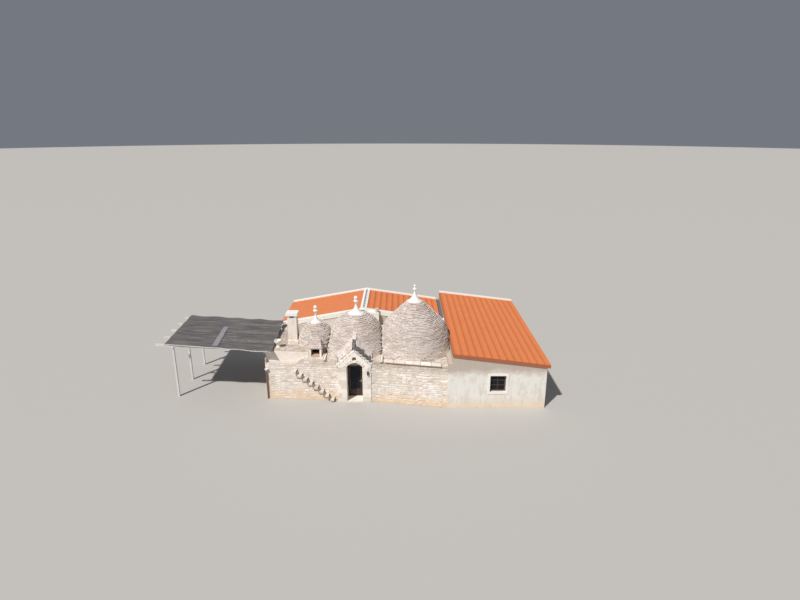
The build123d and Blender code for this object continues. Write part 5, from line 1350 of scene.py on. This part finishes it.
class TRULLO_OT_walls(bpy.types.Operator):
    """Builds the faces of the front and left walls from single stones"""

    bl_idname = "trullo.walls"
    bl_label = "Lay the wall stones"

    def execute(self, context):
        sizes = context.scene.trullo_stone
        rng = np.random.default_rng(sizes.seed + 100)
        ledge, band_head = WALL_TOP - LEDGE_DROP, WALL_TOP + BAND_RISE
        proud = (0.002, 0.010)
        left = [
            wall_blocks(HOUSE_LEFT + CORNER_SHORT, -PORTAL_HALF, 0.0, ledge, rng, sizes, proud, 0.09),
            wall_blocks(LEDGE_LEFT, LEDGE_RIGHT, ledge, WALL_TOP, rng, sizes, proud, 0.09),
        ]
        middle, size = (HOUSE_LEFT + BAND_RIGHT) / 2, (BAND_RIGHT - HOUSE_LEFT, band_head - ledge)
        place = np.array([[middle, float(front_line(middle)) + 0.30, (ledge + band_head) / 2]])
        laid = lay_blocks(place, ALONG_FRONT, UP, *size, 0.012, 0.03, rng, 0.012, 0.010, 0.2, (40, 9))
        make_blocks("ledge_plaster", laid[:2], "band_plaster")
        left.append(corner_blocks(rng))
        make_blocks("front_stones_left", join_blocks(left), "wall_face")

        right = wall_blocks(PORTAL_HALF, HOUSE_RIGHT, 0.0, WALL_TOP, rng, sizes, (0.003, 0.014), 0.15)
        span = (PORTAL_HALF, PORTAL_HALF + PORTAL_SWING)
        fill, quads = upright_plate(*span, np.zeros_like, lambda x: np.full_like(x, 2.5), 0.0, 1.0)
        x, y, z = fill.T
        fill[:, 1] = np.where(y > 0.5, front_line(x) + 0.08, wall_face_y(x, z) - 0.001)
        make_blocks("portal_side_fill", (fill, quads), "wall_core")
        make_blocks("front_stones_right", right, "wall_face")

        usual = sizes.wall_course, sizes.wall_stone
        run, z, width, height = coursed(LEFT_WALL_FRONT, REAR_FACE, 0.0, WALL_TOP, *usual, rng, 0.03, 0.25)
        place, proud = at(HOUSE_LEFT, run, z), rng.uniform(0.003, 0.014, len(run))
        size = width * 0.955, height * 0.93
        laid = lay_blocks(place, (0, -1.0, 0), UP, *size, proud, 0.05, rng, 0.020, 0.09)
        make_blocks("left_wall_stones", laid, "wall_face")
        return {"FINISHED"}


class TRULLO_OT_paving(bpy.types.Operator):
    """Lays the irregular slabs on the flat stone roofs"""

    bl_idname = "trullo.paving"
    bl_label = "Lay the roof slabs"

    def execute(self, context):
        sizes = context.scene.trullo_stone
        rng = np.random.default_rng(sizes.seed + 200)
        laid = paving(DECK_LEFT, HOUSE_RIGHT, DECK_RUN, deck, off_deck, rng, sizes)
        make_blocks("deck_slabs", laid, "roof_slab")
        span = (HOUSE_LEFT + 0.01, LEFT_ROOF_RIGHT, LEFT_ROOF_RUN)
        laid = paving(*span, left_slope, off_left_slope, rng, sizes)
        make_blocks("left_roof_slabs", laid, "left_roof_slab")
        return {"FINISHED"}


class TRULLO_OT_portal(bpy.types.Operator):
    """Builds the arch stones, jamb blocks and slab roof of the portal, and the light board over the door"""

    bl_idname = "trullo.portal"
    bl_label = "Dress the portal"

    def execute(self, context):
        rng = np.random.default_rng(context.scene.trullo_stone.seed + 300)
        blocks = join_blocks([*jamb_blocks(rng), arch_blocks(rng), *gable_plates()])
        make_blocks("portal_blocks", blocks, "cut_stone")
        slabs, shaded, rakes, shadow_bars = portal_roof(rng)
        make_blocks("portal_rake", join_blocks(rakes), "cut_stone")
        make_blocks("portal_shaded_slabs", join_blocks(shaded), "shaded_slab")
        make_blocks("portal_roof_slabs", join_blocks(slabs), "cone_slab")
        make_blocks("portal_seams", join_blocks(shadow_bars), "seam")

        foot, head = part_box("door_leaf")[1].z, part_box("fanlight_glass")[0].z
        place = np.array([[0.0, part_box("door_frame")[0].y + 0.001, (foot + head) / 2]])
        size = 0.80, head - foot - 0.015
        laid = lay_blocks(place, RIGHT, UP, *size, 0.016, 0.006, rng, 0.006, 0.0, 0.1, (5, 3))
        make_blocks("transom_board", laid[:2], "white_timber")
        return {"FINISHED"}


class TRULLO_OT_trim(bpy.types.Operator):
    """Builds the steps, the pale coping slabs and the dormer's sill, jamb stones and cover"""

    bl_idname = "trullo.trim"
    bl_label = "Build steps and coping"

    def execute(self, context):
        rng = np.random.default_rng(context.scene.trullo_stone.seed + 400)
        build_steps(rng)
        build_coping(rng)
        build_dormer(rng)
        return {"FINISHED"}


class TRULLO_OT_pinnacles(bpy.types.Operator):
    """Turns the plaster caps and pinnacles of the three cones"""

    bl_idname = "trullo.pinnacles"
    bl_label = "Turn the pinnacles"

    def execute(self, context):
        shapes = {
            "left": (0.32, 0.45, 0.060, 0.145, 0.71, 0.110, 0.92),
            "middle": (0.50, 0.48, 0.075, 0.150, 0.75, 0.120, 0.94),
            "right": (0.44, 0.62, 0.060, 0.130, 0.74, 0.075, 0.935),
        }
        for number, (name, shape) in enumerate(shapes.items()):
            profile = pinnacle_profile(*shape)
            profile[:, 1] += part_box(f"{name}_pinnacle")[0].z
            points, faces = turned(profile, CONES[name]["x"], CONES[name]["y"], 64, 0.012, number)
            piece = make_piece(f"{name}_cap", points, faces, "limewash", smooth=True)
            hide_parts(f"{name}_pinnacle")
        return {"FINISHED"}


class TRULLO_OT_tiles(bpy.types.Operator):
    """Lays the clay tiles on the three slopes and the half-round tiles on the ridge"""

    bl_idname = "trullo.tiles"
    bl_label = "Lay the roof tiles"

    def execute(self, context):
        seed, tile_width = context.scene.trullo_stone.seed, context.scene.trullo_roof.tile_width
        front, back = REAR_FACE + COPING_DEPTH, REAR_BACK - COPING_DEPTH
        head_left = RIDGE_TOP - (RIDGE_TOP - REAR_EAVE_LEFT) / (RIDGE_X - REAR_LEFT) * RIDGE_HALF
        head_right = RIDGE_TOP - (RIDGE_TOP - REAR_EAVE_RIGHT) / (HOUSE_RIGHT - RIDGE_X) * RIDGE_HALF
        left, right = (REAR_LEFT, REAR_EAVE_LEFT), (HOUSE_RIGHT, REAR_EAVE_RIGHT)
        annex = (ANNEX_EDGE, ANNEX_EAVE), (ANNEX_LEFT, ANNEX_HEAD)
        slopes = {
            "rear_tiles_left": (left, (RIDGE_X - RIDGE_HALF, head_left), front, -1, "sunny_tile"),
            "rear_tiles_right": (right, (RIDGE_X + RIDGE_HALF, head_right), front, 1, "roof_tile"),
            "lean_to_tiles": (*annex, ANNEX_FRONT, 1, "roof_tile"),
        }
        for number, (name, (foot, head, start, side, finish)) in enumerate(slopes.items()):
            rng = np.random.default_rng(seed + 500 + number)
            columns = int(round((back - start) / tile_width))
            low, high = (np.array([x, start if side > 0 else back, z]) for x, z in (foot, head))
            along, width = np.array([0.0, float(side), 0.0]), (back - start) / columns
            points, quads, tint, uv = tile_blocks(low, high, along, TILE_COURSES[name], columns, width, rng)
            points[:, 0] = np.clip(points[:, 0], CAD_BOX[0].x + 0.001, CAD_BOX[1].x - 0.001)
            make_piece(name, points, [quads], finish, tint=tint, uv=uv)

        low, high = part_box("ridge_tiles")
        rng = np.random.default_rng(seed + 550)
        pitch = (high.y - low.y) / RIDGE_COUNT
        angle = np.linspace(0, math.pi, 13)
        tiles = []
        for number in range(RIDGE_COUNT):
            run = low.y + pitch * (number + np.array([0.25, 0.27, 0.63, 0.65]))
            swell = np.array([0.062, 0.070, 0.074, 0.066])[:, None] * rng.uniform(0.97, 1.0)
            z = low.z + swell * np.sin(angle) * 0.99
            points = at(RIDGE_X + swell * np.cos(angle)[::-1], run[:, None], z).reshape(-1, 3)
            tiles.append((points, grid_quads(len(angle), len(run)), np.full(len(points), rng.uniform())))
        points, quads, tint = join_blocks(tiles)
        ridge = make_piece(
            "ridge_half_rounds", points, [quads], "ridge_clay", smooth=True, tint=tint
        )
        thicken(ridge, 0.012)
        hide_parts("ridge_tiles")
        return {"FINISHED"}


class TRULLO_OT_cloth(bpy.types.Operator):
    """Hangs the shade cloth over the rafters, with its border and the paler strip"""

    bl_idname = "trullo.cloth"
    bl_label = "Hang the shade cloth"

    def execute(self, context):
        sag = context.scene.trullo_roof.cloth_sag
        phase = np.random.default_rng(context.scene.trullo_stone.seed + 600).uniform(0, FULL_PHASE, 8)
        across, back = np.meshgrid(np.linspace(0, 1, 170), np.linspace(0, 1, 120))
        scallop = 0.004 * np.sin(17 * across + phase[5]) + 0.003 * np.sin(31 * across + phase[6])
        points = cloth_points(across, back + scallop * (2 * back - 1), 0.010, sag, phase)
        cloth = hang_cloth("shade_cloth", points, "dark_net", 0.0)
        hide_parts("pergola_canopy")

        bands = {
            "cloth_border": (0.0, 1.0, 1.0, 0.0, 0.0, 0.015, 170, 3, "net_border"),
            "cloth_strip": (0.434, 0.486, 0.470, 0.424, 0.065, 0.66, 10, 60, "pale_net"),
            # The black band beside the pale strip is painted shadow.
            "cloth_fold": (0.488, 0.499, 0.482, 0.472, 0.065, 0.66, 4, 60, "black_net"),
        }
        for name, (*ends, front, rear, columns, rows, finish) in bands.items():
            share, depth = np.meshgrid(np.linspace(0, 1, columns), np.linspace(0, 1, rows))
            across, back = between(list(zip(ends, (front, front, rear, rear))), share, depth)
            hang_cloth(name, cloth_points(across, back, 0.0165, sag, phase), finish)

        return {"FINISHED"}


class TRULLO_OT_windows(bpy.types.Operator):
    """Puts glazing bars on the five windows of the rear blocks"""

    bl_idname = "trullo.windows"
    bl_label = "Fit the glazing bars"

    def execute(self, context):
        windows = [((x, REAR_BACK - WINDOW_INSET), (-1.0, 0, 0)) for x in BACK_WINDOWS_X]
        windows += [((SIDE_WALL_X - WINDOW_INSET, y), BACKWARD) for y in SIDE_WINDOWS_Y]
        windows += [((FRONT_WINDOW_X, FRONT_RIGHT_Y + WINDOW_INSET), RIGHT)]
        bars = [(0.0, 0.5, 0.032, 0.87)]
        bars += [(offset, level, 0.36, 0.028) for level in (0.36, 0.66) for offset in (-0.2, 0.2)]
        rows = [
            (*(np.array([*middle, WINDOW_SILL + level]) + offset * np.array(side)), *side, wide, tall)
            for middle, side in windows
            for offset, level, wide, tall in bars
        ]
        place, across, size = np.split(np.array(rows), (3, 6), axis=1)
        rng = np.random.default_rng(0)
        laid = lay_blocks(place, across, UP, *size.T, 0.010, 0.006, rng, 0.004, 0.0, 0.2, (2, 2))
        make_blocks("window_bars", laid[:2], "sash_timber")
        return {"FINISHED"}


class TRULLO_OT_stage(bpy.types.Operator):
    """Sets up the pale floor, the soft studio light and the camera"""

    bl_idname = "trullo.stage"
    bl_label = "Set the stage"

    def execute(self, context):
        scene = context.scene
        ring = np.linspace(0, 2 * math.pi, 96, endpoint=False)
        points = at(FLOOR_RADIUS * np.cos(ring), FLOOR_RADIUS * np.sin(ring), -FLOOR_DEPTH)
        mesh = bpy.data.meshes.new("studio_floor")
        mesh.from_pydata(points.tolist(), [], [list(range(len(ring)))])
        floor = bpy.data.objects.new("studio_floor", mesh)
        scene.collection.objects.link(floor)
        material, _, shader = new_finish("studio_floor", specular=0.1)
        shader.inputs["Base Color"].default_value = (0.52, 0.505, 0.485, 1.0)
        shader.inputs["Roughness"].default_value = 0.95
        mesh.materials.append(material)

        world = bpy.data.worlds.new("studio")
        world.use_nodes = True
        sky = world.node_tree.nodes["Background"]
        sky.inputs["Color"].default_value = (0.80, 0.87, 1.0, 1.0)
        sky.inputs["Strength"].default_value = SKY_STRENGTH
        scene.world = world

        sun = bpy.data.lights.new("key", "SUN")
        sun.energy = SUN_STRENGTH
        sun.angle = math.radians(2.0)
        sun.color = (1.0, 0.965, 0.91)
        key = bpy.data.objects.new("key", sun)
        key.rotation_mode = "QUATERNION"
        key.rotation_quaternion = Vector(SUN_FROM).to_track_quat("Z", "Y")
        scene.collection.objects.link(key)

        lens = bpy.data.cameras.new("camera")
        lens.sensor_width = 36.0
        lens.lens = CAMERA_LENS
        lens.clip_end = 1000.0
        camera = bpy.data.objects.new("camera", lens)
        camera.location = CAMERA_PLACE
        camera.rotation_euler = (math.radians(CAMERA_PITCH), 0.0, 0.0)
        scene.collection.objects.link(camera)
        scene.camera = camera
        scene.view_settings.view_transform = "Standard"
        return {"FINISHED"}


class TRULLO_PT_panel(bpy.types.Panel):
    """Sizes, colours and building steps of the trullo house"""

    bl_idname = "TRULLO_PT_panel"
    bl_label = "Trullo house"
    bl_space_type = "VIEW_3D"
    bl_region_type = "UI"
    bl_category = "Trullo"

    def draw(self, context):
        layout = self.layout
        for group in (context.scene.trullo_stone, context.scene.trullo_roof, context.scene.trullo_colours):
            box = layout.box()
            for name in group.__annotations__:
                box.prop(group, name)
        for operator in OPERATORS:
            layout.operator(operator.bl_idname)


OPERATORS = (
    TRULLO_OT_stage,
    TRULLO_OT_finishes,
    TRULLO_OT_cones,
    TRULLO_OT_walls,
    TRULLO_OT_paving,
    TRULLO_OT_portal,
    TRULLO_OT_trim,
    TRULLO_OT_pinnacles,
    TRULLO_OT_tiles,
    TRULLO_OT_cloth,
    TRULLO_OT_windows,
)
CLASSES = (TrulloStoneSizes, TrulloRoofSizes, TrulloColours, *OPERATORS, TRULLO_PT_panel)


def register():
    """Registers the classes and puts the settings on the scene."""
    for item in CLASSES:
        bpy.utils.register_class(item)
    bpy.types.Scene.trullo_stone = PointerProperty(type=TrulloStoneSizes)
    bpy.types.Scene.trullo_roof = PointerProperty(type=TrulloRoofSizes)
    bpy.types.Scene.trullo_colours = PointerProperty(type=TrulloColours)


def unregister():
    """Takes the settings off the scene and unregisters the classes."""
    del bpy.types.Scene.trullo_stone, bpy.types.Scene.trullo_roof, bpy.types.Scene.trullo_colours
    for item in reversed(CLASSES):
        bpy.utils.unregister_class(item)


def main():
    """Registers the add-on and runs every building step."""
    register()
    for operator in OPERATORS:
        family, step = operator.bl_idname.split(".")
        getattr(getattr(bpy.ops, family), step)()


if __name__ == "__main__":
    main()
